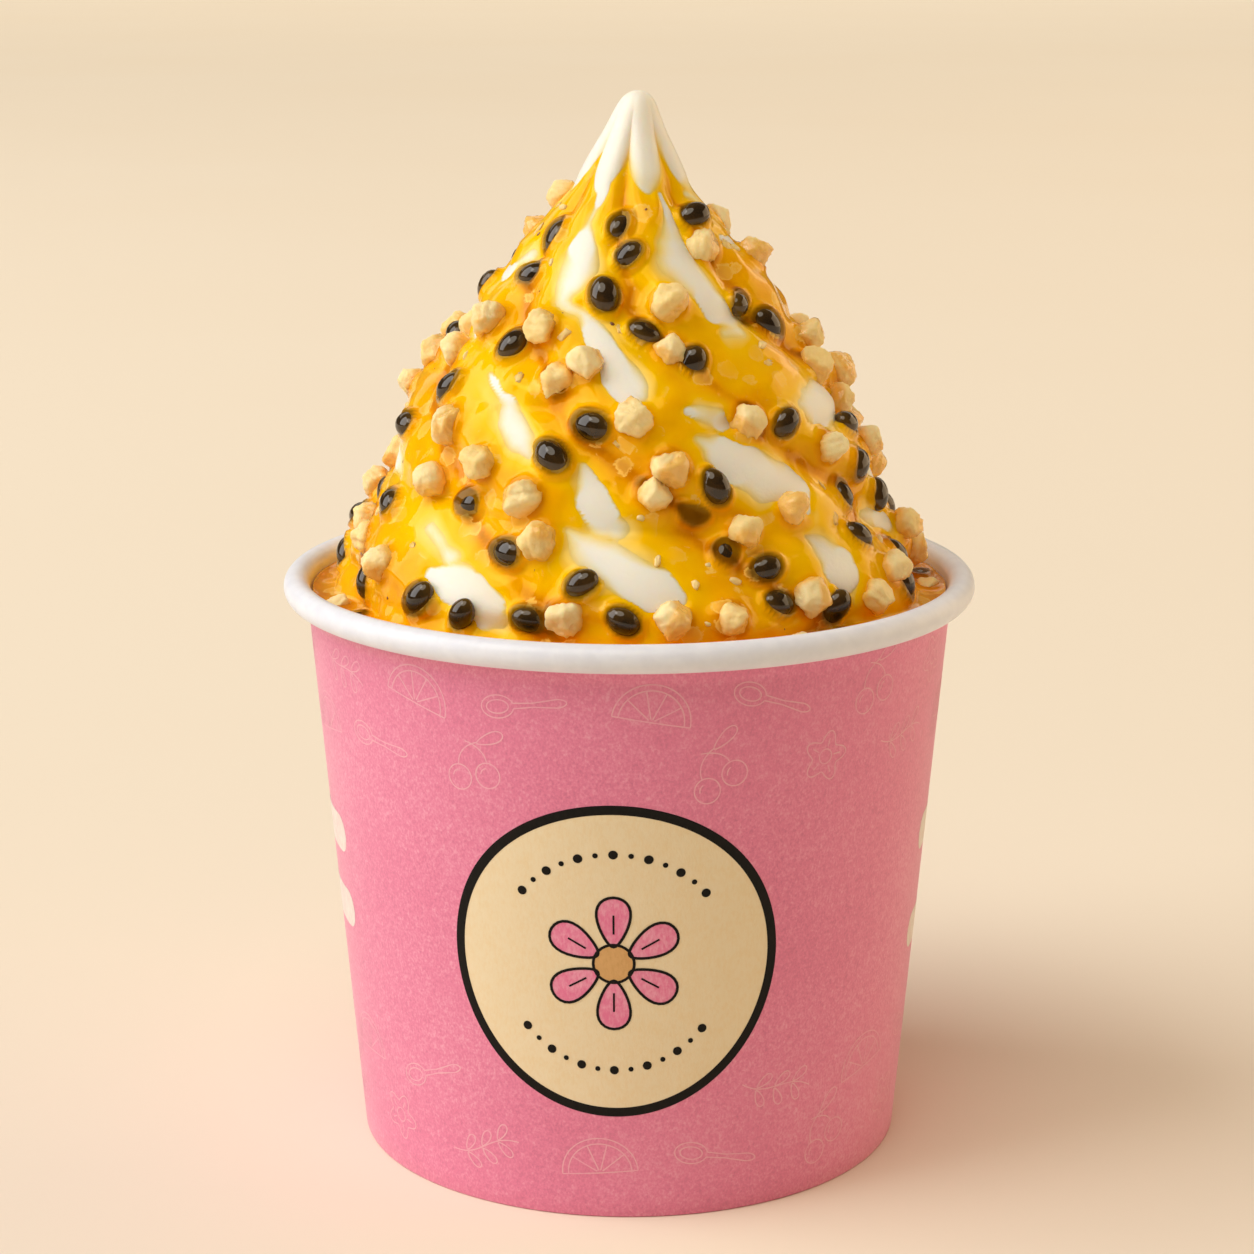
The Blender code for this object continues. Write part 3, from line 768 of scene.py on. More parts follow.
def nut_finish():
    """Chopped nut: pale and grainy where dry, deeper and glossier where sauce wets it and on a side that
    is partly sauce and partly painted shade, turned away from the key light.
    """
    finish = Finish("nut", Subsurface_Weight=0.3, Subsurface_Scale=1.2 * MM, Specular_IOR_Level=0.35)
    finish.feed("Subsurface Radius", (1.0, 0.6, 0.3))
    # The wet field holds real sauce and painted shade on the side away from the key light
    wet = finish.attribute("wet")
    grain = finish.noise(1900.0, detail=4.0, roughness=0.7)
    patch = finish.noise(330.0, detail=3.0, roughness=0.6)
    toast = patch * 0.5 + grain * 0.3 + finish.attribute("tone") * 0.4
    dry = finish.mix(toast.between(0.35, 0.85), NUT_PALE, NUT_TAN)
    finish.feed("Base Color", finish.mix(wet * 0.8, dry, NUT_WET_AND_SHADE))
    finish.feed("Roughness", 0.62 - wet * 0.42)
    finish.feed("Coat Weight", wet * 0.8)
    finish.bump(grain * 0.6 + patch * 0.4, depth=0.22 * MM)
    return finish.material


def fleck_finish():
    """Soft pulp: pale, wet, half clear. Its pale bits stand partly for pulp and partly as painted glints of
    highlight.
    """
    finish = Finish("fleck", Subsurface_Weight=0.4, Subsurface_Scale=0.8 * MM, Specular_IOR_Level=0.25)
    finish.feed("Subsurface Radius", (1.0, 0.6, 0.25))
    finish.feed("Roughness", 0.3)
    grain = finish.noise(700.0, detail=3.0)
    finish.feed("Base Color", finish.mix(grain.between(0.35, 0.7) * 0.5, FLECK, SAUCE_GOLD))
    return finish.material


def speck_finish():
    """Toasted specks."""
    finish = Finish("speck", Roughness=0.35)
    finish.feed("Coat Weight", 0.6)
    finish.feed("Base Color", finish.mix(finish.noise(1200.0).between(0.4, 0.6), SPECK, SPECK_PALE))
    return finish.material


def floor_finish():
    """Plain pale floor with the faintest unevenness."""
    finish = Finish("floor", Specular_IOR_Level=0.0)
    cloud = finish.noise(3.0, detail=3.0)
    finish.feed("Base Color", finish.mix(cloud * 0.3, FLOOR_PALE, FLOOR_WARM))
    finish.feed("Roughness", 0.7 + cloud * 0.1)
    return finish.material


# ---------------------------------------------------------------- form of the cone


def smooth(share):
    """0 below 0, 1 above 1, and smooth between them."""
    share = np.clip(share, 0.0, 1.0)
    return share * share * (3 - 2 * share)


def smooth_area(share):
    """The area under smooth() from 0 to share."""
    held = np.clip(share, 0.0, 1.0)
    return held**3 - held**4 / 2 + np.maximum(share - 1, 0.0)


def wall_radius(height):
    """Outer radius of the cup's side at a height."""
    top = RIM_RADIUS - ROLL_WIDTH + BOARD
    share = height / (CUP_HEIGHT - ROLL_HEIGHT / 2)
    return FOOT_RADIUS + (top - FOOT_RADIUS) * share


def inside_radius(height):
    """Radius that the cup's contents may fill at a height."""
    return wall_radius(height) - BOARD - GAP


def uneven_ridges():
    """For each ridge, how much further out and round it lies than an even one."""
    draw = random.Random(SCATTER_SEED)
    out = [draw.uniform(-1, 1) * RIDGE_UNEVEN_RADIUS for _ in range(RIDGES)]
    turn = [draw.uniform(-1, 1) * RIDGE_UNEVEN_TURN for _ in range(RIDGES)]
    return np.array(out), np.array(turn)


RIDGE_OUT, RIDGE_TURN = uneven_ridges()


def outline_radius(depth):
    """Ridge radius at a depth below the tip: a smooth curve over the depth's square root."""
    knots = np.sqrt([d for d, _ in CONE_OUTLINE])
    radii = np.array([r for _, r in CONE_OUTLINE])
    slopes = np.gradient(radii)
    slopes[1:-1] = (radii[2:] - radii[:-2]) / (knots[2:] - knots[:-2])
    slopes[0] = (radii[1] - radii[0]) / (knots[1] - knots[0])
    slopes[-1] = (radii[-1] - radii[-2]) / (knots[-1] - knots[-2])
    along = np.clip(np.sqrt(np.maximum(depth, 0.0)), 0.0, knots[-1])
    i = np.clip(np.searchsorted(knots, along, side="right") - 1, 0, len(knots) - 2)
    span = knots[i + 1] - knots[i]
    t = (along - knots[i]) / span
    start = (1 + 2 * t) * (1 - t) ** 2 * radii[i] + t * (1 - t) ** 2 * span * slopes[i]
    end = t * t * (3 - 2 * t) * radii[i + 1] + t * t * (t - 1) * span * slopes[i + 1]
    return start + end


def winding(height):
    """Degrees that the ridges have turned between the tip and a height."""
    turn = WIND_AT_TIP * (TIP_HEIGHT - height)
    more = (WIND_MORE_FROM - height) / WIND_MORE_OVER
    less = (WIND_LESS_FROM - height) / WIND_LESS_OVER
    turn = turn + WIND_MORE * WIND_MORE_OVER * smooth_area(more)
    return turn - WIND_LESS * WIND_LESS_OVER * smooth_area(less)


def coil_share(azimuth, height):
    """How far down its own coil a point lies, from 0 at the coil's top edge to 1 at its lower edge."""
    return ((COIL_EDGE - height) / COIL_PITCH - azimuth / 360) % 1.0


def coil_weight(height):
    """How much the coils show: not at all at the tip, and in full below."""
    return smooth((COIL_FADE_FROM - height) / COIL_FADE_OVER)


def coil_turn(azimuth, height):
    """Degrees that the ridges run ahead within a coil, before they step back at its lower edge."""
    share = coil_share(azimuth, height)
    run = share - 0.5 - smooth((share - 1 + COIL_STEP_SHARE) / COIL_STEP_SHARE)
    return COIL_STEP_BACK * coil_weight(height) * run


def coil_swell(azimuth, height):
    """How far a coil's middle stands out from its edges."""
    share = coil_share(azimuth, height)
    return COIL_DEPTH * coil_weight(height) * (1 - np.abs(2 * share - 1) ** 3)


def even_azimuth(ridge, height):
    """Azimuth of a ridge's crest, were all ridges alike."""
    return FIRST_RIDGE + 360 / RIDGES * ridge + winding(height)


def ridge_azimuth(ridge, height):
    """Azimuth of a ridge's crest, and of the place between crests for a ridge number with a fraction."""
    held = np.maximum(height, POOL_LEVEL)
    even = even_azimuth(ridge, held)
    whole = np.floor(ridge).astype(int)
    share = ridge - whole
    turn = RIDGE_TURN[whole % RIDGES] * (1 - share) + RIDGE_TURN[(whole + 1) % RIDGES] * share
    return even + turn + coil_turn(even, held)


def ridge_at(azimuth, height):
    """Ridge number of the place that lies at an azimuth, found by trial."""
    ridge = 0.0
    for _ in range(RIDGE_TRIES):
        ridge = ridge + (azimuth - ridge_azimuth(ridge, height)) * RIDGES / 360
    return ridge


def off_crest(ridge):
    """0 on a crest and 1 in a groove."""
    return np.abs(ridge - np.round(ridge)) * 2


def flute_depth(height):
    """How deep the grooves between the ridges are at a height."""
    depth = TIP_HEIGHT - np.maximum(height, POOL_LEVEL)
    return np.minimum(FLUTE_DEPTH * smooth(depth / FLUTE_GROWTH), FLUTE_MOST * outline_radius(depth))


def ridge_radius(ridge, height):
    """Radius of the cone at a ridge number, whose fraction runs from one crest to the next."""
    held = np.maximum(height, POOL_LEVEL)
    depth = TIP_HEIGHT - held
    off = off_crest(ridge)
    grown = smooth(depth / FLUTE_GROWTH)
    out = RIDGE_OUT[np.round(ridge).astype(int) % RIDGES] * grown * (1 - off)
    swell = coil_swell(even_azimuth(ridge, held), held) - COIL_DEPTH * coil_weight(held)
    return outline_radius(depth) + out + swell - flute_depth(held) * off**FLUTE_POWER


def cone_axis(height):
    """Where the cone's axis lies in X at a height: its tip leans a little."""
    share = np.maximum(height - LEAN_FROM, 0.0) / (TIP_HEIGHT - LEAN_FROM)
    return TIP_LEAN * share * share


def at(azimuth, radius, height, axis=0.0):
    """Point at an azimuth in degrees, a radius and a height."""
    turn = np.radians(azimuth)
    x = axis + radius * np.sin(turn)
    return np.stack([x, -radius * np.cos(turn), height + 0 * x], -1)


def cone_point(ridge, height, outward=0.0):
    """Point of the cone's surface at a ridge number and a height."""
    radius = ridge_radius(ridge, height) + outward
    return at(ridge_azimuth(ridge, height), radius, height, cone_axis(height))


def cone_normal(ridge, height):
    """Outward normal of the cone's surface."""
    across = cone_point(ridge + RIDGE_STEP, height) - cone_point(ridge - RIDGE_STEP, height)
    up = cone_point(ridge, height + HEIGHT_STEP) - cone_point(ridge, height - HEIGHT_STEP)
    normal = np.cross(across, up)
    return normal / np.linalg.norm(normal, axis=-1, keepdims=True)


def ripple(points, length, seed, count=7):
    """Smooth random field from about -1 to 1, whose waves are of about one length."""
    draw = random.Random(seed)
    total = np.zeros(points.shape[:-1])
    for _ in range(count):
        way = np.array([draw.gauss(0, 1) for _ in range(3)])
        way *= math.tau / (length * draw.uniform(*WAVE_SPREAD) * np.linalg.norm(way))
        total += np.sin(points @ way + draw.uniform(0, math.tau))
    return total / math.sqrt(count)


# ---------------------------------------------------------------- meshes


def deselect():
    """Lets go of all pieces, as every operator needs before it starts."""
    bpy.ops.object.select_all(action="DESELECT")


def pick(piece):
    """Selects one object alone and makes it the active one."""
    deselect()
    piece.select_set(True)
    bpy.context.view_layer.objects.active = piece


def new_piece(name):
    """Names the object that an operator has just added."""
    made = bpy.context.active_object
    made.name = name
    made.data.name = name
    return made


def points_of(piece):
    """A piece's points."""
    return np.array([v.co for v in piece.data.vertices])


def move_points(piece, points):
    """Puts a piece's points at new places."""
    piece.data.vertices.foreach_set("co", np.asarray(points, np.float32).ravel())
    piece.data.update()


def store(piece, name, values):
    """Gives each point of a piece a number that its finish reads."""
    field = piece.data.attributes.new(name, "FLOAT", "POINT")
    field.data.foreach_set("value", np.asarray(values, np.float32).ravel())


def close_up():
    """Merges the active mesh's doubles and turns its faces outwards."""
    bpy.ops.object.mode_set(mode="EDIT")
    bpy.ops.mesh.select_all(action="SELECT")
    bpy.ops.mesh.remove_doubles(threshold=DOUBLES)
    bpy.ops.mesh.select_all(action="SELECT")
    bpy.ops.mesh.normals_make_consistent(inside=False)
    bpy.ops.object.mode_set(mode="OBJECT")


def face_out(piece):
    """Turns each face that looks at the cup's axis."""
    pick(piece)
    bpy.ops.object.mode_set(mode="EDIT")
    bpy.ops.mesh.select_all(action="DESELECT")
    bpy.ops.object.mode_set(mode="OBJECT")
    for face in piece.data.polygons:
        face.select = face.normal.x * face.center.x + face.normal.y * face.center.y < 0
    bpy.ops.object.mode_set(mode="EDIT")
    bpy.ops.mesh.flip_normals()
    bpy.ops.object.mode_set(mode="OBJECT")


def settle(piece, finishes, replaced=(), angle=None):
    """Last steps of every piece: its place, shading, finishes, body and the node it stands for."""
    pick(piece)
    bpy.ops.object.transform_apply(location=True, rotation=True, scale=True)
    if angle is None:
        bpy.ops.object.shade_smooth()
    else:
        bpy.ops.object.shade_smooth_by_angle(angle=math.radians(angle))
    piece.data.materials.clear()
    for finish in finishes:
        piece.data.materials.append(finish)
    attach(piece, "root")
    if replaced:
        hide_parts(*replaced)


def skin(name, rows, fields):
    """Closed skin round the axis, from a flat grid whose rows take the given rings, the lowest first.

    The first and the last row each shut to a point. A field holds a number for each point.
    """
    count, columns = rows.shape[:2]
    deselect()
    bpy.ops.mesh.primitive_grid_add(x_subdivisions=columns, y_subdivisions=count - 1, size=1.0)
    made = new_piece(name)
    move_points(made, np.concatenate([rows, rows[:, :1]], 1))
    for field, values in fields.items():
        store(made, field, np.concatenate([values, values[:, :1]], 1))
    close_up()
    return made


def joined(name, parts, fields=None):
    """One mesh from many small parts, each of points and faces. A field holds a number for each point."""
    faces, start = [], 0
    for points, its_faces in parts:
        faces += [[v + start for v in face] for face in its_faces]
        start += len(points)
    mesh = bpy.data.meshes.new(name)
    mesh.from_pydata(np.concatenate([points for points, _ in parts]).tolist(), [], faces)
    made = bpy.data.objects.new(name, mesh)
    bpy.context.scene.collection.objects.link(made)
    for field, values in (fields or {}).items():
        store(made, field, values)
    return made


def taken_apart(made):
    """The points and faces of an object, which is then removed."""
    points = points_of(made)
    faces = [list(f.vertices) for f in made.data.polygons]
    bpy.data.objects.remove(made)
    return points, faces


def ball(subdivisions):
    """Directions spread evenly all round, and the faces between them."""
    deselect()
    bpy.ops.mesh.primitive_ico_sphere_add(subdivisions=subdivisions, radius=1.0)
    ways, faces = taken_apart(bpy.context.active_object)
    return ways / np.linalg.norm(ways, axis=1, keepdims=True), faces


# ---------------------------------------------------------------- cup


def arc(centre, half_width, half_height, start, end, count):
    """Points on an ellipse from one angle to another, in degrees, both ends included."""
    angles = [math.radians(start + (end - start) * i / count) for i in range(count + 1)]
    return [(centre[0] + half_width * math.cos(a), centre[1] + half_height * math.sin(a)) for a in angles]


def between(first, second, count):
    """Points from the first towards the second, the second left out."""
    a, b = np.array(first), np.array(second)
    return [tuple(a + (b - a) * i / count) for i in range(count)]


def turned(name, outline):
    """Closed ring or disc drawn out along an outline of (radius, height) points."""
    deselect()
    radius, height = outline[0]
    bpy.ops.mesh.primitive_circle_add(vertices=CUP_SIDES, radius=radius, location=(0, 0, height))
    made = new_piece(name)
    bpy.ops.object.mode_set(mode="EDIT")
    bpy.ops.mesh.select_all(action="SELECT")
    for (radius, height), (next_radius, next_height) in zip(outline, outline[1:]):
        rise = (0, 0, next_height - height)
        bpy.ops.mesh.extrude_edges_move(TRANSFORM_OT_translate={"value": rise})
        share = next_radius / radius
        bpy.ops.transform.resize(value=(share, share, 1), center_override=(0, 0, next_height))
    bpy.ops.object.mode_set(mode="OBJECT")
    close_up()
    return made


def cup_outline():
    """The board as one closed outline: foot, printed side, rolled rim, inside, and folded hem."""
    half_width, half_height = ROLL_WIDTH / 2, ROLL_HEIGHT / 2
    roll = (RIM_RADIUS - half_width, CUP_HEIGHT - half_height)
    under_roll = CUP_HEIGHT - ROLL_HEIGHT + SIDE_INTO_ROLL
    foot = (FOOT_RADIUS - FOOT_EDGE, 0.0)
    outline = [foot, (FOOT_RADIUS - FOOT_BEND, FOOT_BEND)]
    outline += between((wall_radius(FOOT_EDGE), FOOT_EDGE), (wall_radius(under_roll), under_roll), SIDE_STEPS)
    outline += [(wall_radius(under_roll), under_roll)]
    outline += arc(roll, half_width, half_height, ROLL_START, 180, ROLL_STEPS)[:-1]
    inner_foot = (wall_radius(BOARD) - BOARD, BOARD)
    outline += between((wall_radius(roll[1]) - BOARD, roll[1]), inner_foot, INSIDE_STEPS)
    channel = BOARD + 2 * GAP
    hem = FOOT_RADIUS - 2 * BOARD - channel
    lean = wall_radius(HEM_HEIGHT) - wall_radius(0.0)
    outline += [inner_foot, (hem + BOARD, BOARD), (hem + BOARD + lean, HEM_HEIGHT), (hem + lean, HEM_HEIGHT)]
    return outline + [(hem, 0.0), foot]


def add_cup(pink, white):
    """Board from its folded hem up the printed side, over the rolled rim and down the inside."""
    made = turned("cup_wall_board", cup_outline())
    settle(made, [pink, white], ["cup_wall"])
    top = CUP_HEIGHT - ROLL_HEIGHT + PRINT_INTO_ROLL
    for face in made.data.polygons:
        radius = math.hypot(face.center.x, face.center.y)
        outside = wall_radius(face.center.z) - BOARD / 2 < radius < RIM_RADIUS - PRINT_CLEAR_OF_RIM
        face.material_index = 0 if outside and face.center.z < top else 1


def add_bottom(white):
    """Raised bottom with its skirt standing in the hem."""
    under = FLOOR_HEIGHT - BOARD
    skirt = BOARD + GAP
    top_radius, under_radius = inside_radius(FLOOR_HEIGHT), inside_radius(under) - BOARD
    inwards, downwards = BOTTOM_EDGE
    outline = [
        (POLE, FLOOR_HEIGHT),
        (top_radius - inwards, FLOOR_HEIGHT),
        (top_radius, FLOOR_HEIGHT - downwards),
        (inside_radius(skirt), skirt),
        (inside_radius(skirt) - BOARD, skirt),
        (under_radius, under - SKIRT_BEND),
        (under_radius - SKIRT_BEND, under),
        (POLE, under),
    ]
    settle(turned("cup_bottom_board", outline), [white], ["cup_bottom"], angle=40)


# ---------------------------------------------------------------- print on the cup


def on_wall(flat, azimuth, height, lift):
    """Lays flat points (x, z), in metres about their own middle, on the cup's side."""
    z = height + flat[:, 1]
    turn = azimuth + np.degrees(flat[:, 0] / wall_radius(height))
    return at(turn, wall_radius(z) + lift, z)


def wrap(made, azimuth, height, lift):
    """Bends a flat piece, modelled in X and Z about the origin, on to the cup's side."""
    move_points(made, on_wall(points_of(made)[:, [0, 2]], azimuth, height, lift))
    face_out(made)


def flat_ring(name, outer, inner, rings, sides=160):
    """Flat disc or ring about the origin, facing the front, drawn inwards from its outer edge."""
    deselect()
    bpy.ops.mesh.primitive_circle_add(vertices=sides, radius=outer, rotation=(math.pi / 2, 0, 0))
    made = new_piece(name)
    bpy.ops.object.transform_apply(rotation=True)
    bpy.ops.object.mode_set(mode="EDIT")
    bpy.ops.mesh.select_all(action="SELECT")
    radii = [outer + (inner - outer) * i / rings for i in range(rings + 1)]
    for radius, smaller in zip(radii, radii[1:]):
        bpy.ops.mesh.extrude_edges_move()
        if smaller > 0:
            share = smaller / radius
            bpy.ops.transform.resize(value=(share, share, share), center_override=(0, 0, 0))
        else:
            bpy.ops.mesh.merge(type="CENTER")
    bpy.ops.object.mode_set(mode="OBJECT")
    return made


def flat_grid(name, columns, rows):
    """Flat grid about the origin, one metre wide and high, facing the front."""
    deselect()
    turn = (math.pi / 2, 0, 0)
    bpy.ops.mesh.primitive_grid_add(x_subdivisions=columns, y_subdivisions=rows, size=1.0, rotation=turn)
    made = new_piece(name)
    bpy.ops.object.transform_apply(rotation=True)
    return made


def stepped(path, longest):
    """The same path in steps no longer than a length, so that it follows the cup's round side."""
    points = []
    for start, end in zip(path, path[1:]):
        count = max(1, math.ceil(np.linalg.norm(end - start) / longest))
        points += [start + (end - start) * i / count for i in range(count)]
    return np.array(points + [path[-1]])


def ribbon(path, width, closed):
    """Flat strip along a path of (x, z) points: its points and its faces."""
    path = np.asarray(path, float)
    if closed:
        ahead, behind = np.roll(path, -1, 0), np.roll(path, 1, 0)
    else:
        path = stepped(path, PRINT_STEP)
        ahead = np.concatenate([path[1:], path[-1:]])
        behind = np.concatenate([path[:1], path[:-1]])
    way = ahead - behind
    way /= np.maximum(np.linalg.norm(way, axis=1, keepdims=True), 1e-12)
    side = np.stack([-way[:, 1], way[:, 0]], 1) * width / 2
    count = len(path)
    last = count if closed else count - 1
    faces = [[i, (i + 1) % count, count + (i + 1) % count, count + i] for i in range(last)]
    return np.concatenate([path - side, path + side]), faces


def fan(outline):
    """Flat filled shape round its middle: its points and its faces, in three rings."""
    outline = np.asarray(outline, float)
    middle = outline.mean(0)
    count = len(outline)
    points = np.concatenate([middle + (outline - middle) * share for share in (1.0, 0.66, 0.33)] + [[middle]])
    faces = []
    for outer in (0, count):
        for i in range(count):
            j = (i + 1) % count
            faces.append([outer + i, outer + j, outer + count + j, outer + count + i])
    faces += [[2 * count + i, 2 * count + (i + 1) % count, 3 * count] for i in range(count)]
    return points, faces


def turned_by(flat, degrees):
    """Flat points turned about the origin."""
    a = math.radians(degrees)
    return flat @ np.array([[math.cos(a), math.sin(a)], [-math.sin(a), math.cos(a)]])


def oval(centre, half_width, half_height, start=0.0, end=360.0, count=32):
    """Points round an oval, or along a part of it, in degrees."""
    steps = np.radians(np.linspace(start, end, count, endpoint=end - start < 360))
    return np.stack([half_width * np.cos(steps), half_height * np.sin(steps)], 1) + np.asarray(centre)


def circle(centre, radius, start=0.0, end=360.0, count=32):
    """Points round a circle, or along a part of it, in degrees."""
    return oval(centre, radius, radius, start, end, count)


def petal(turn, near, far, half_width, count=28):
    """Outline of a petal that points away from the middle at an angle, broader towards its end."""
    along = np.linspace(0, math.tau, count, endpoint=False)
    reach = (near + far) / 2 - (far - near) / 2 * np.cos(along)
    broad = half_width * np.sin(along) * (1 - PETAL_SWELL + PETAL_SWELL * np.cos(along + math.pi))
    return turned_by(np.stack([reach, broad], 1), turn)


def add_print(name, parts, finish):
    """One piece of print from parts that lie on the cup's side."""
    made = joined(name, parts)
    face_out(made)
    settle(made, [finish])


def add_badge_ring(name, outer, inner, rings, lift, finish):
    """Disc or ring of the badge, wrapped round the cup."""
    made = flat_ring(name, outer, inner, rings)
    wrap(made, BADGE_AZIMUTH, BADGE_HEIGHT, lift)
    settle(made, [finish])


def add_badge_print(name, shapes, lift, finish):
    """Print on the badge, from flat shapes of points and faces."""
    parts = [(on_wall(points, BADGE_AZIMUTH, BADGE_HEIGHT, lift), faces) for points, faces in shapes]
    add_print(name, parts, finish)


def add_badge():
    """Round cream badge in a black ring, with a flower of six petals and arcs of dots."""
    cream, black, pink, biscuit = [ink("badge_" + name) for name in ("cream", "ink", "pink", "biscuit")]
    add_badge_ring("badge_disc", BADGE_RADIUS - BADGE_LINE / 2, 0.0, BADGE_RINGS, LIFT, cream)
    add_badge_ring("badge_ring", BADGE_RADIUS, BADGE_RADIUS - BADGE_LINE, 2, 2 * LIFT, black)
    turns = [90 + 360 / PETALS * i for i in range(PETALS)]
    petals = [petal(turn, PETAL_FROM, PETAL_TO, PETAL_HALF_WIDTH) for turn in turns]
    heart = circle((0, 0), HEART_RADIUS)
    add_badge_print("badge_petals", [fan(p) for p in petals], 2 * LIFT, pink)
    add_badge_print("badge_heart", [fan(heart)], 3 * LIFT, biscuit)
    lines = [ribbon(p, FLOWER_LINE, closed=True) for p in petals + [heart]]
    lines += [ribbon(turned_by(np.array(VEIN), turn), VEIN_LINE, closed=False) for turn in turns]
    dots = []
    for side in (90, 270):
        for i in range(-DOTS_EACH_WAY, DOTS_EACH_WAY + 1):
            a = math.radians(side + i * DOT_STEP)
            place = (DOT_CIRCLE * math.cos(a), DOT_CIRCLE * math.sin(a))
            dots.append(fan(circle(place, DOT_SIZES[i % 2], count=16)))
    add_badge_print("badge_lines", lines, 4 * LIFT, black)
    add_badge_print("badge_dots", dots, 3 * LIFT, black)


def citrus():
    """Half a slice of fruit, with its rind and segments."""
    rind, flesh, pith = 5.6, 4.7, 0.5
    lines = [circle((0, -2), rind, 0, 180), circle((0, -2), flesh, 0, 180)]
    lines.append(np.array([(-rind, -2), (rind, -2)]))
    for turn in (36, 72, 108, 144):
        way = np.array([math.cos(math.radians(turn)), math.sin(math.radians(turn))])
        lines.append(np.array([way * pith + (0, -2), way * flesh + (0, -2)]))
    return lines


def spoon():
    """A spoon with an inner edge to its bowl and a handle that widens to a round end."""
    upper = np.array([(-1.98, 0.4), (1.0, 0.3), (4.4, 0.62)])
    bowl = [oval((-4.4, 0), 2.5, 1.7, 14, 346), oval((-4.4, 0), 1.7, 1.0)]
    return bowl + [upper, upper * (1, -1), oval((4.4, 0), 1.5, 0.62, -90, 90)]


def berries():
    """Two berries on their stalks under a leaf."""
    middles = ((-2.2, -2.2), (2.4, -1.7))
    lines = [circle(middle, 1.9) for middle in middles]
    lines += [circle(middle, 1.1, 100, 170) for middle in middles]
    lines += [oval((2.2, -0.3), 4.4, 3.6, 104, 180), oval((-3.0, 0.2), 5.4, 3.4, 2, 66)]
    return lines + [petal(20, 0.6, 5.0, 1.1) + (0.6, 2.9)]


def blossom():
    """Flower of five rounded petals, with a line on each and a round heart."""
    steps = np.radians(np.arange(0, 360, 6))
    reach = 3.1 + 0.75 * np.cos(5 * steps)
    edge = np.stack([reach * np.cos(steps), reach * np.sin(steps)], 1)
    return [edge, circle((0, 0), 1.1)] + [turned_by(np.array([(1.5, 0), (2.7, 0)]), 72 * i) for i in range(5)]


def sprig():
    """Curved stalk with leaves on both sides."""
    sway, pace = 0.9, 0.42
    steps = np.linspace(-6, 6, 24)
    lines = [np.stack([steps, sway * np.sin(steps * pace)], 1)]
    for x in (-3.6, -0.6, 2.4):
        for turn in (52, -52):
            lines.append(petal(turn, 0.3, 3.2, 0.85) + (x, sway * math.sin(x * pace)))
    return lines


def add_line_print():
    """Faint line drawings in staggered rows above and below the badge, all round the cup."""
    motifs = (citrus, spoon, berries, blossom, sprig)
    parts = []
    draw = random.Random(SCATTER_SEED)
    for height, count, start, first in MOTIF_ROWS:
        for i in range(count):
            azimuth = start + 360 / count * i
            turn = draw.uniform(-MOTIF_TURN, MOTIF_TURN)
            aside = math.radians((azimuth - BADGE_AZIMUTH + 180) % 360 - 180) * wall_radius(height)
            if math.hypot(aside, height - BADGE_HEIGHT) < BADGE_RADIUS + MOTIF_REACH:
                continue
            for path in motifs[(first + i) % len(motifs)]():
                closed = len(path) > CLOSED_POINTS and np.linalg.norm(path[0] - path[-1]) < CLOSED_GAP
                flat, faces = ribbon(turned_by(path, turn) * MOTIF_UNIT, MOTIF_LINE, closed)
                parts.append((on_wall(flat, azimuth, height, LIFT), faces))
    add_print("line_print", parts, ink("line_ink"))


def add_side_bars():
    """Two pale bars with round ends on each side of the cup."""
    pale = ink("bar_ink")
    for number, (azimuth, height) in enumerate(BAR_PLACES):
        made = flat_grid(f"side_bar_{number}", 96, 8)
        points = points_of(made)
        points[:, 0] *= BAR_LENGTH
        past = np.maximum(np.abs(points[:, 0]) - (BAR_LENGTH - BAR_BREADTH) / 2, 0.0)
        points[:, 2] *= 2 * np.sqrt(np.maximum((BAR_BREADTH / 2) ** 2 - past**2, 0.0))
        move_points(made, points)
        wrap(made, azimuth, height, LIFT)
        settle(made, [pale])


def add_side_seam(pink):
    """Edge of the printed board where it laps over itself at the back."""
    made = flat_grid("side_seam", 12, 60)
    across, _, up = points_of(made).T
    top = CUP_HEIGHT - ROLL_HEIGHT + SEAM_EDGE
    turn = BACK + across * SEAM_TURN
    height = (up + 0.5) * (top - SEAM_EDGE) + SEAM_EDGE
    along = across + 0.5
    lap = SEAM_LIFT * ((1 + SEAM_SUNK) * smooth(along / SEAM_FULL) - SEAM_SUNK)
    lift = np.where(along < SEAM_END, lap, -SEAM_LIFT / 2)
    move_points(made, at(turn, wall_radius(height) + lift, height))
    face_out(made)
    settle(made, [pink], angle=30)


# ---------------------------------------------------------------- ice


def add_ice():
    """The cup's filling and the smooth, fluted cone above it."""
    columns = np.arange(ICE_COLUMNS) / ICE_COLUMNS * RIDGES
    base = FLOOR_HEIGHT + GAP
    shoulder = POOL_LEVEL - POOL_DEPTH - GAP
    foot_azimuth = ridge_azimuth(columns, POOL_LEVEL)
    rows = [at(foot_azimuth, 0.0, base), at(foot_azimuth, inside_radius(base), base)]
    rows += [at(foot_azimuth, inside_radius(shoulder), shoulder), cone_point(columns, shoulder)]
    plain = 0 * columns
    grooves, washes = [plain] * len(rows), [plain] * len(rows)
    share = np.arange(ICE_ROWS) / ICE_ROWS
    for height in POOL_LEVEL + (TIP_HEIGHT - POOL_LEVEL) * (1 - (1 - share) ** ICE_ROWS_CROWD):
        rows.append(cone_point(columns, height))
        # The groove field is painted shade, deepest in each groove and growing in below the tip
        grooves.append(off_crest(columns) ** 2 * smooth((TIP_HEIGHT - height) / GROOVE_SHADE_OVER))
        washes.append(washed(columns, height))
    rows.append(at(foot_azimuth, 0.0, TIP_HEIGHT, cone_axis(TIP_HEIGHT)))
    fields = {"groove": np.array(grooves + [plain]), "wash": np.array(washes + [plain])}
    made = skin("soft_serve_cone", np.array(rows), fields)
    settle(made, [soft_serve_finish()], ["soft_serve"])


# ---------------------------------------------------------------- toppings


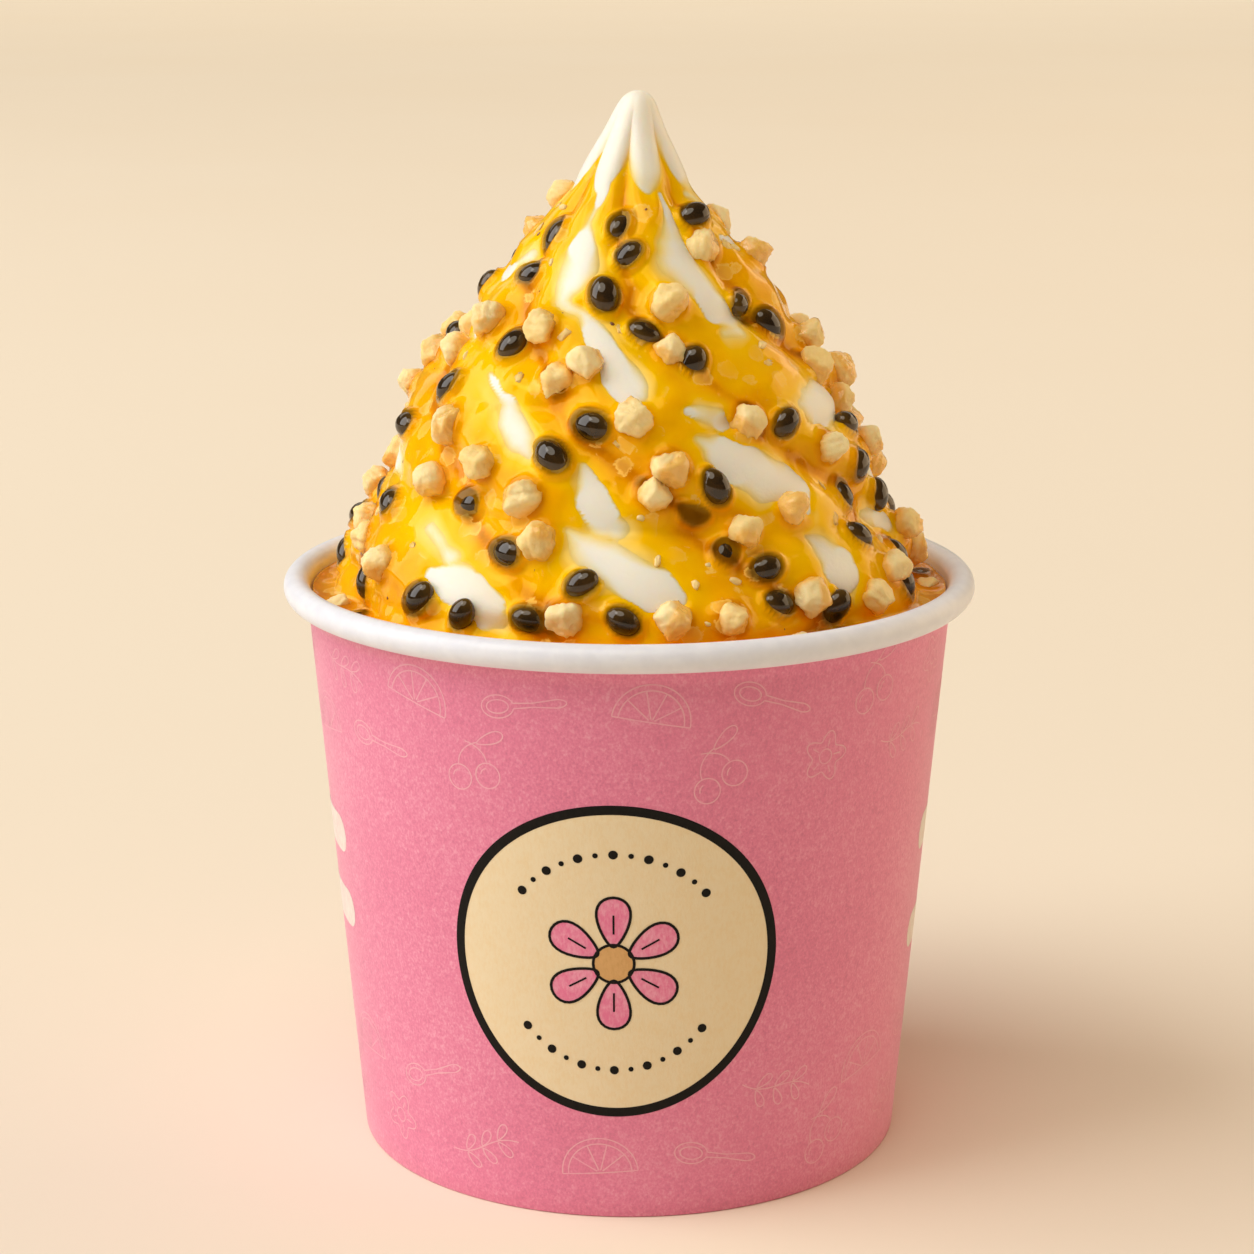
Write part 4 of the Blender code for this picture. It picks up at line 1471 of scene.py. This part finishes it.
def round_from(ridge, middle):
    """How many ridges round a ridge number lies from another, the short way."""
    return (ridge - middle + RIDGES / 2) % RIDGES - RIDGES / 2


def from_front(azimuth):
    """Degrees round from the front, the short way."""
    return abs((azimuth + 180) % 360 - 180)


def is_bare(ridge, height):
    """True on a bare patch, or close to one."""
    for number, patches in enumerate(BARE_PATCHES):
        for top, bottom, half_width, shift in patches:
            aside = round_from(ridge, number + shift)
            along = (height - (top + bottom) / 2) / ((top - bottom) / 2 + BARE_MARGIN)
            if along**2 + (2 * aside / (half_width + BARE_SIDE_MARGIN)) ** 2 < 1:
                return True
    return False


def topping_spots():
    """Where each topping lies on the cone, as (ridge number, height, whether it is a seed): first those at
    the front, then scattered ones, each far from those before it."""
    draw = random.Random(SCATTER_SEED + 2)
    spots = [(ridge_at(azimuth, height), height, True) for azimuth, height in FRONT_SEEDS]
    spots += [(ridge_at(azimuth, height), height, False) for azimuth, height in FRONT_NUTS]
    places = [cone_point(ridge, height) for ridge, height, _ in spots]
    widest = ridge_radius(0, TOPPINGS_FROM)
    while len(spots) < TOPPINGS_ON_CONE:
        best, best_distance = None, 0.0
        for _ in range(CANDIDATES):
            height = draw.uniform(TOPPINGS_FROM, TOPPINGS_TO)
            ridge = draw.uniform(0, RIDGES)
            if draw.random() * widest > ridge_radius(ridge, height):
                continue
            if is_bare(ridge, height) or from_front(ridge_azimuth(ridge, height)) < FRONT_REACH:
                continue
            place = cone_point(ridge, height)
            distance = np.linalg.norm(np.array(places) - place, axis=1).min()
            if distance > best_distance:
                best, best_distance = (ridge, height, place), distance
        if best is None or best_distance < CLOSEST:
            continue
        spots.append((best[0], best[1], len(spots) % 2 == 0))
        places.append(best[2])
    return spots


class Topping:
    """A seed or a nut: where it lies, how it is turned, its size, and for a nut the bumps that shape it."""

    def __init__(self, is_seed, draw, scale=1.0):
        self.is_seed = is_seed
        self.bumps = [] if is_seed else [draw.uniform(-NUT_UNEVEN, NUT_UNEVEN) for _ in range(NUT_BUMPS)]
        self.scale = scale

    def lay(self, point, normal, draw):
        """Lays it flat at a point, turned at random about the normal there."""
        upright = Vector(normal).to_track_quat("Z", "Y").to_matrix()
        turn = Matrix.Rotation(draw.uniform(0, math.tau), 3, "Z")
        self.scale *= draw.uniform(TOPPING_SMALLEST, TOPPING_LARGEST)
        self.turn = np.array(upright @ turn)
        self.point = np.array(point)
        self.normal = np.array(normal)
        return self

    def place(self, points):
        """Points of a model as they lie on the sundae."""
        return points @ self.turn.T * self.scale + self.point

    def reach(self, points):
        """How far points are outside it, in metres, and under 0 inside."""
        size = SEED_SIZE if self.is_seed else (NUT_SIZE, NUT_SIZE, NUT_SIZE)
        half = np.array(size) * self.scale / 2
        shares = (points - self.point) @ self.turn / half
        return (np.linalg.norm(shares, axis=-1) - 1) * half.mean()

    def wetness(self, points):
        """1 where it meets the sauce, fading to 0 above it."""
        above = (points - self.point) @ self.normal
        top = SEED_WET_TO if self.is_seed else NUT_WET_TO
        return 1 - smooth((above - top + WET_OVER) / WET_OVER)


def lay_toppings():
    """The toppings on the cone and those that float on the pool, drawn in the order of the solids'."""
    laid = []
    draw = random.Random(SCATTER_SEED + 3)
    for ridge, height, is_seed in topping_spots():
        normal = cone_normal(ridge, height)
        lift = SEED_LIFT if is_seed else NUT_LIFT
        laid.append(Topping(is_seed, draw).lay(cone_point(ridge, height) + normal * lift, normal, draw))
    draw = random.Random(SCATTER_SEED + 4)
    for ridge in range(RIDGES):
        groove = ridge_azimuth(ridge + 0.5, POOL_LEVEL)
        for side in (-1, 1):
            point = at(groove + side * POOL_TOPPING_TURN, POOL_TOPPING_RADIUS, POOL_LEVEL - POOL_TOPPING_SINK)
            is_seed = side * (-1) ** ridge > 0
            laid.append(Topping(is_seed, draw, POOL_TOPPING_SIZE).lay(point, (0.0, 0.0, 1.0), draw))
    return laid


def seed_model():
    """Smooth flattened seed, a little narrower at one end."""
    deselect()
    turn = (0, math.pi / 2, 0)
    bpy.ops.mesh.primitive_uv_sphere_add(segments=20, ring_count=12, radius=0.5, rotation=turn)
    bpy.ops.object.transform_apply(rotation=True)
    points, faces = taken_apart(bpy.context.active_object)
    along = points[:, 0] * 2
    narrow = 1 - SEED_NARROW * np.clip(along, 0, 1) ** 2 + SEED_BROAD * np.clip(-along, 0, 1)
    points[:, 1:] *= narrow[:, None]
    return points * SEED_SIZE, faces


def add_seeds(laid):
    """All seeds, browner at their ends and where they stand in the sauce."""
    model, faces = seed_model()
    seeds = [t for t in laid if t.is_seed]
    ends = np.clip(np.abs(model[:, 0]) * 2 / SEED_LENGTH, 0, 1) ** 3 * SEED_END_TONE
    parts = [(seed.place(model), faces) for seed in seeds]
    wet = [np.maximum(seed.wetness(points) * SEED_FOOT_TONE, ends) for seed, (points, _) in zip(seeds, parts)]
    made = joined("seeds", parts, {"wet": np.concatenate(wet)})
    settle(made, [seed_finish()])


def random_way(draw):
    """A direction, any as likely as another."""
    way = np.array([draw.gauss(0, 1) for _ in range(3)])
    return way / np.linalg.norm(way)


NUT_BUMP_WAYS = ball(1)[0]


def nut_form(ways, bumps, draw):
    """Radius in each direction: an uneven ball with flat cuts, rounded edges and a fine grain."""
    pull = np.maximum(ways @ NUT_BUMP_WAYS.T, 0.0) ** NUT_BUMP_WIDTH
    uneven = 1 + pull @ np.array(bumps) / pull.sum(1)
    cuts = []
    for _ in range(NUT_CUTS):
        way = random_way(draw)
        cuts.append(draw.uniform(*NUT_CUT_DEPTHS) / np.maximum(ways @ way, NUT_CUT_LEAST))
    level = np.exp(-NUT_CRISPNESS * np.array(cuts)).sum(0) + np.exp(-NUT_CRISPNESS * uneven * NUT_BALL)
    own = ways + draw.uniform(0, NUT_CHIPS_APART)
    chips = sum(ripple(own, length, seed) * height for length, seed, height in NUT_CHIPS)
    return -np.log(level) / NUT_CRISPNESS + chips


def add_nuts(laid, finish):
    """All nuts, each cut in its own way, with sauce on its own side, a side that leans away from the key
    light and so is partly painted shade.
    """
    ways, faces = ball(4)
    draw = random.Random(SCATTER_SEED + 5)
    parts, wet, tone = [], [], []
    for nut in laid:
        if nut.is_seed:
            continue
        form = nut_form(ways, nut.bumps, draw) * NUT_SIZE / 2
        points = nut.place(ways * form[:, None])
        # Painted shade and sauce: this side leans to the lower right, away from the key light
        side = np.array([draw.gauss(*axis) for axis in SOAK_AND_SHADE_WAY])
        side /= np.linalg.norm(side)
        edge = draw.uniform(*SOAK_AND_SHADE_EDGE)
        facing = (points - nut.point) @ side / (NUT_SIZE / 2)
        soaked_and_shaded = smooth((facing - edge) / SOAK_AND_SHADE_FADE) * SOAK_AND_SHADE_MOST
        parts.append((points, faces))
        wet.append(np.maximum(nut.wetness(points), soaked_and_shaded))
        tone.append(np.full(len(ways), draw.random()))
    made = joined("nuts", parts, {"wet": np.concatenate(wet), "tone": np.concatenate(tone)})
    settle(made, [finish])


# ---------------------------------------------------------------- sauce


def beyond_patches(ridge, height):
    """Distance in metres outside the nearest bare patch behind, and under 0 on it. A patch is narrow above
    and blunt below."""
    closest = np.full(np.broadcast(ridge, height).shape, 1.0)
    for number, patches in enumerate(BARE_PATCHES):
        for top, bottom, half_width, shift in patches:
            if from_front(ridge_azimuth(np.array(number + shift), (top + bottom) / 2)) < STROKES_REACH:
                continue
            half = (top - bottom) / 2
            along = (height - (top + bottom) / 2) / half
            aside = 2 * round_from(ridge, number + shift) / half_width
            aside = aside / (1 - BARE_TAPER * np.clip(along, -1, 1))
            closest = np.minimum(closest, (np.hypot(along, aside) - 1) * min(half, PATCH_EDGE))
    return closest


def beyond_strokes(points):
    """Distance in metres outside the nearest bare stroke at the front, and under 0 on it."""
    closest = np.full(points.shape[:-1], 1.0)
    for stroke in BARE_STROKES:
        azimuth, height, half = np.array(stroke).T
        half = np.maximum(half, STROKE_LEAST)
        middle = cone_point(ridge_at(azimuth, height), height)
        for start, end, half_start, half_end in zip(middle, middle[1:], half, half[1:]):
            way = end - start
            share = np.clip((points - start) @ way / (way @ way), 0.0, 1.0)
            away = np.linalg.norm(points - start - share[..., None] * way, axis=-1)
            reach = half_start + share * (half_end - half_start)
            closest = np.minimum(closest, away - reach * STROKE_BREADTH)
    return closest


def sauce_edge(ridge, height):
    """Distance in metres from the sauce's edge: over 0 under the sauce and under 0 where the ice is bare."""
    points = cone_point(ridge, height)
    wobble = ripple(points, *EDGE_WAVES) * EDGE_WOBBLE
    wobble = wobble + ripple(points, *EDGE_RIPPLES) * EDGE_WOBBLE * EDGE_WOBBLE_FINE
    rise = SAUCE_TOP_IN_GROOVE - SAUCE_TOP_ON_RIDGE
    top = SAUCE_TOP_ON_RIDGE + rise * off_crest(ridge) ** SAUCE_TOP_CURVE
    bare = np.minimum(beyond_patches(ridge, height), beyond_strokes(points))
    return np.minimum(bare, (top - height) * SAUCE_TOP_SLOPE) + wobble


def softness(points):
    """How softly the sauce's edge thins away, from 0 where it is crisp to 1."""
    return smooth(SOFT_MIDDLE + SOFT_SPREAD * ripple(points, *SOFT_WAVES))


def washed(ridge, height):
    """How much thin sauce stains the ice: most at the sauce's edge, and less further into a bare patch."""
    soft = softness(cone_point(ridge, height))
    reach = WASH_LEAST + (WASH_MOST - WASH_LEAST) * soft
    return np.exp(np.minimum(sauce_edge(ridge, height), 0.0) / reach) * (1 - WASH_HELD_BACK * soft)


def rounded_groove(off):
    """The flute's profile, with its sharp bottom rounded off from FILL_FROM on."""
    start = FILL_FROM**FLUTE_POWER
    slope = FLUTE_POWER * FILL_FROM ** (FLUTE_POWER - 1)
    past = off - FILL_FROM
    return start + slope * past - slope * past**2 / (2 * (1 - FILL_FROM))


def sauce_over(ridge, height):
    """The sauce's surface on the cone: how far it stands out from the ice, under 0 where it is bare, and its
    tone, from 0 where it thins away to 1 where it is deepest."""
    points = cone_point(ridge, height)
    off = off_crest(ridge)
    edge = sauce_edge(ridge, height)
    inside = np.maximum(edge, 0.0)
    thick = 0.5 + 0.5 * np.tanh(FILM_CONTRAST * ripple(points, *FILM_WAVES))
    film = FILM_LEAST + (FILM - FILM_LEAST) * thick
    rounded = np.where(off > FILL_FROM, rounded_groove(off), off**FLUTE_POWER)
    fill = flute_depth(height) * (off**FLUTE_POWER - rounded)
    wave = SAUCE_WAVE * ripple(points, *SAUCE_WAVES)
    wave = wave + SAUCE_WAVE * SAUCE_WAVE_FINE * ripple(points, *SAUCE_RIPPLES)
    covered = (film + fill) * (1 - np.exp(-inside / EDGE_THINNING))
    covered = covered + wave * smooth(inside / SAUCE_WAVE_FROM_EDGE)
    over = np.where(edge > 0, covered, np.maximum(edge * BARE_SLOPE, -SAUCE_BELOW_BARE))
    soft = softness(points)
    come_in = 1 - np.exp(-inside / (TONE_OVER + TONE_OVER_SOFT * soft))
    deep = np.clip((film - FILM_LEAST + DEEP_IN_GROOVE * fill) / DEEP_AT, 0, 1)
    start = TONE_AT_EDGE * (1 - soft)
    full = TONE_AT_EDGE + TONE_THIN + (TONE_DEEP - TONE_THIN) * deep
    return over, start + come_in * (full - start)


def climbing(points, laid):
    """How far the sauce climbs at each point because of the toppings, how dark the seeds make it, and how
    much painted contact shade darkens it round the nuts."""
    flat = points.reshape(-1, 3)
    rise, dark, deep = np.zeros((3, len(flat)))
    for topping in laid:
        near = np.nonzero(np.abs(flat - topping.point).max(1) < TOPPING_NEAR)[0]
        if not len(near):
            continue
        reach = topping.reach(flat[near])
        shade = 1 - smooth(reach / SEED_SHADE_REACH)
        if topping.is_seed:
            sac = SAC_HEIGHT * (1 - smooth((reach - SAC_REACH * SAC_FLAT) / (SAC_REACH * SAC_SLOPE)))
            rise[near] = np.maximum(rise[near], sac)
            dark[near] = np.maximum(dark[near], shade**SEED_SHADE_FADE)
        else:
            climb = CLIMB_HEIGHT * np.exp(-np.maximum(reach, 0) / CLIMB_REACH)
            rise[near] = np.maximum(rise[near], climb)
            # Painted contact shade: a darker ring of sauce round each nut
            deep[near] = np.maximum(deep[near], shade)
    return [field.reshape(points.shape[:-1]) for field in (rise, dark, deep)]


def grid_normals(rows):
    """Normals of rows of points round the axis."""
    across = np.roll(rows, -1, 1) - np.roll(rows, 1, 1)
    up = np.gradient(rows, axis=0)
    normal = np.cross(across, up)
    return normal / np.maximum(np.linalg.norm(normal, axis=-1, keepdims=True), 1e-12)


def sauce_surface(heights, columns, laid):
    """Rows of the sauce's surface on the cone with how deep it is, darker in painted contact shade round
    the nuts, and how dark the seeds make it.
    """
    azimuth, height = np.meshgrid(columns, heights)
    ridge = ridge_at(azimuth, height)
    over, tone = sauce_over(ridge, height)
    base = cone_point(ridge, height, over)
    rise, dark, deep = climbing(base, laid)
    wet = smooth((over + CLIMB_EDGE) / (2 * CLIMB_EDGE))
    rows = base + grid_normals(base) * (rise * wet)[..., None]
    # Painted contact shade round the nuts deepens the tone
    tone = np.clip(tone + (TONE_ON_SEED * rise / SAC_HEIGHT + NUT_CONTACT_SHADE * deep) * wet, 0.0, 1.0)
    return rows, tone, dark * wet


def azimuths(points):
    """The azimuth of each point, in degrees."""
    return np.degrees(np.arctan2(points[:, 0], -points[:, 1]))


def pool_surface(inner, laid):
    """Rows of the pool's surface, from the foot of the sauce on the cone out to the cup's side."""
    near = np.hypot(inner[:, 0], inner[:, 1])
    far = inside_radius(POOL_LEVEL)
    share = np.linspace(0, 1, POOL_ROWS + 1)[1:, None]
    radius = near + (far - near) * share
    points = at(np.broadcast_to(azimuths(inner), radius.shape), radius, POOL_LEVEL)
    lip = POOL_LIP * np.exp(-(far - radius) / POOL_LIP_REACH)
    foot = (inner[:, 2] - POOL_LEVEL) * np.exp(-(radius - near) / POOL_FOOT_REACH)
    points[..., 2] += lip + foot + POOL_WAVE * ripple(points, *POOL_WAVES)
    rise, dark, deep = climbing(points, laid)
    points[..., 2] += rise * POOL_CLIMB
    more = POOL_TONE_MORE * smooth((radius - near) / POOL_TONE_OVER)
    # Painted contact shade round the floating nuts deepens the pool's tone too
    return points, np.clip(POOL_TONE + more + NUT_CONTACT_SHADE * deep, 0, 1), dark


def add_sauce(laid):
    """Sauce over the cone and the pool round its foot, as one skin that shuts inside the ice."""
    columns = np.arange(SAUCE_COLUMNS) / SAUCE_COLUMNS * 360.0
    heights = np.linspace(POOL_LEVEL + SAUCE_FOOT, SAUCE_REACH, SAUCE_ROWS)
    coat, depth, dark = sauce_surface(heights, columns, laid)
    pool, pool_depth, pool_dark = pool_surface(coat[0], laid)
    turn = azimuths(coat[0])
    bottom = POOL_LEVEL - POOL_DEPTH
    under = [at(turn, 0.0, bottom), at(turn, inside_radius(bottom), bottom)]
    rows = np.concatenate([under, pool[::-1], coat, [at(turn, 0.0, SAUCE_REACH)]])
    below, above = np.ones((len(under), SAUCE_COLUMNS)), np.zeros((1, SAUCE_COLUMNS))
    fields = {
        "depth": np.concatenate([below, pool_depth[::-1], depth, above]),
        "seed_shade": np.concatenate([0 * below, pool_dark[::-1], dark, above]),
    }
    settle(skin("sauce_coat", rows, fields), [sauce_finish()], ["sauce_pool"])


# ---------------------------------------------------------------- bits on the sauce


def bit_spots(draw, count, laid):
    """Places on the sauce with a normal each, clear of the toppings."""
    spots = []
    while len(spots) < count:
        height = draw.uniform(BITS_FROM, BITS_TO)
        ridge = draw.uniform(0, RIDGES)
        over = float(sauce_over(np.array(ridge), np.array(height))[0])
        point = cone_point(ridge, height, over)
        if over < BIT_SAUCE_LEAST or min(t.reach(point) for t in laid) < BIT_CLEARANCE:
            continue
        spots.append((point, cone_normal(ridge, height)))
    return spots


def crumb_form(ways, draw):
    """A crumb of nut: cut flat all round, as the nuts are."""
    return nut_form(ways, [0.0] * NUT_BUMPS, draw)


def shred_form(ways, draw):
    """A soft shred of pulp or skin."""
    own = ways * SHRED_SCALE + draw.uniform(0, SHREDS_APART)
    return 1 + SHRED_UNEVEN * ripple(own, *SHRED_WAVES)


def add_bits(name, laid, finish, slot, form, count, sizes, flatness, seed):
    """Many small bits on the sauce: crumbs, specks, and pale flecks that are partly pulp and partly painted
    glints.
    """
    ways, faces = ball(BIT_FACES)
    draw = random.Random(seed)
    parts = []
    for point, normal in bit_spots(draw, count, laid):
        bit = Topping(True, draw).lay(point, normal, draw)
        half = draw.uniform(*sizes) / 2
        stretch = np.array([draw.uniform(*BIT_LENGTHS), draw.uniform(*BIT_BREADTHS), flatness])
        bit.scale = 1.0
        bit.point = bit.point - bit.normal * half * flatness * BIT_SINK
        parts.append((bit.place(ways * form(ways, draw)[:, None] * stretch * half), faces))
    every = np.ones(count * len(ways))
    settle(joined(name, parts, {"wet": BIT_WET * every, "tone": BIT_TONE * every}), [finish])


# ---------------------------------------------------------------- studio


def flat_lamp(name, place, target, size, brightness, colour):
    """Flat lamp that faces a place. Its brightness is the radiance of its face."""
    light = bpy.data.lights.new(name, "AREA")
    light.shape = "RECTANGLE"
    light.size, light.size_y = size
    light.energy = brightness * math.pi * size[0] * size[1]
    light.color = colour
    made = bpy.data.objects.new(name, light)
    bpy.context.scene.collection.objects.link(made)
    made.location = place
    made.rotation_euler = (target - place).to_track_quat("-Z", "Y").to_euler()


def soft_box(name, azimuth, elevation, distance, size, brightness, colour):
    """Flat lamp that faces the sundae."""
    level = distance * math.cos(math.radians(elevation))
    target = Vector(SUNDAE_MIDDLE)
    place = Vector(at(azimuth, level, distance * math.sin(math.radians(elevation)))) + target
    flat_lamp(name, place, target, size, brightness, colour)


def add_camera():
    """Camera where the photograph's stood, with its lens."""
    camera = bpy.data.cameras.new("camera")
    camera.lens = CAMERA_LENS
    camera.sensor_width = CAMERA_SENSOR
    camera.shift_x = CAMERA_SHIFT
    camera.clip_start = CAMERA_NEAR
    made = bpy.data.objects.new("camera", camera)
    bpy.context.scene.collection.objects.link(made)
    made.location = CAMERA_PLACE
    made.rotation_euler = (math.radians(CAMERA_TILT), 0.0, 0.0)
    bpy.context.scene.camera = made


def add_sky():
    """Broad weak light from above."""
    sky = bpy.data.lights.new("sky", "SUN")
    sky.energy = 1.15
    sky.color = SKY_CREAM
    sky.angle = math.radians(45)
    made = bpy.data.objects.new("sky", sky)
    made.rotation_euler = (math.radians(24), math.radians(-14), 0.0)
    bpy.context.scene.collection.objects.link(made)


def add_room():
    """Plain room round the studio, brighter where it is seen than in the light that it gives."""
    room = bpy.data.worlds.new("studio")
    room.use_nodes = True
    nodes = Nodes(room.node_tree)
    wall = room.node_tree.nodes["Background"]
    seen = nodes.node("LightPath", {}, {}, "Is Camera Ray")
    ends = {"To Min": ROOM_LIGHT, "To Max": ROOM_SEEN}
    strength = nodes.node("MapRange", {}, {"Value": seen, **ends}, "Result")
    nodes.put(wall.inputs["Color"], linear(ROOM))
    nodes.put(wall.inputs["Strength"], strength)
    bpy.context.scene.world = room


def add_studio():
    """Camera at the photograph's angle, a large soft key from the left, a weak fill, and a pale floor."""
    bpy.context.scene.view_settings.view_transform = "Standard"
    add_camera()
    soft_box("key", -82, 36, distance=3.0, size=(2.6, 3.4), brightness=3.0, colour=KEY_WHITE)
    soft_box("fill", 108, 14, distance=2.6, size=(3.0, 2.0), brightness=1.9, colour=FILL_AMBER)
    far = Vector(FAR_FLOOR)
    over = far + Vector((0.0, 0.0, BACKDROP_LAMP_HEIGHT))
    flat_lamp("backdrop", over, far, size=(9.0, 4.0), brightness=0.9, colour=BACKDROP_CREAM)
    add_sky()
    add_room()
    deselect()
    bpy.ops.mesh.primitive_plane_add(size=FLOOR_SIZE)
    floor = new_piece("floor")
    floor.data.materials.append(floor_finish())


def main():
    """Sets up the studio and builds the sundae in it, from the cup up."""
    add_studio()
    pink, white = printed_board(), plain_board()
    add_cup(pink, white)
    add_bottom(white)
    add_badge()
    add_line_print()
    add_side_bars()
    add_side_seam(pink)
    add_ice()
    laid = lay_toppings()
    add_sauce(laid)
    add_seeds(laid)
    nut = nut_finish()
    add_nuts(laid, nut)
    add_bits("nut_crumbs", laid, nut, "nut", crumb_form, *CRUMBS)
    # Pale flecks: partly pulp, partly painted glints of highlight
    add_bits("pulp_flecks_and_glints", laid, fleck_finish(), "sauce", shred_form, *FLECKS_AND_GLINTS)
    add_bits("specks", laid, speck_finish(), "nut", shred_form, *SPECKS)


main()
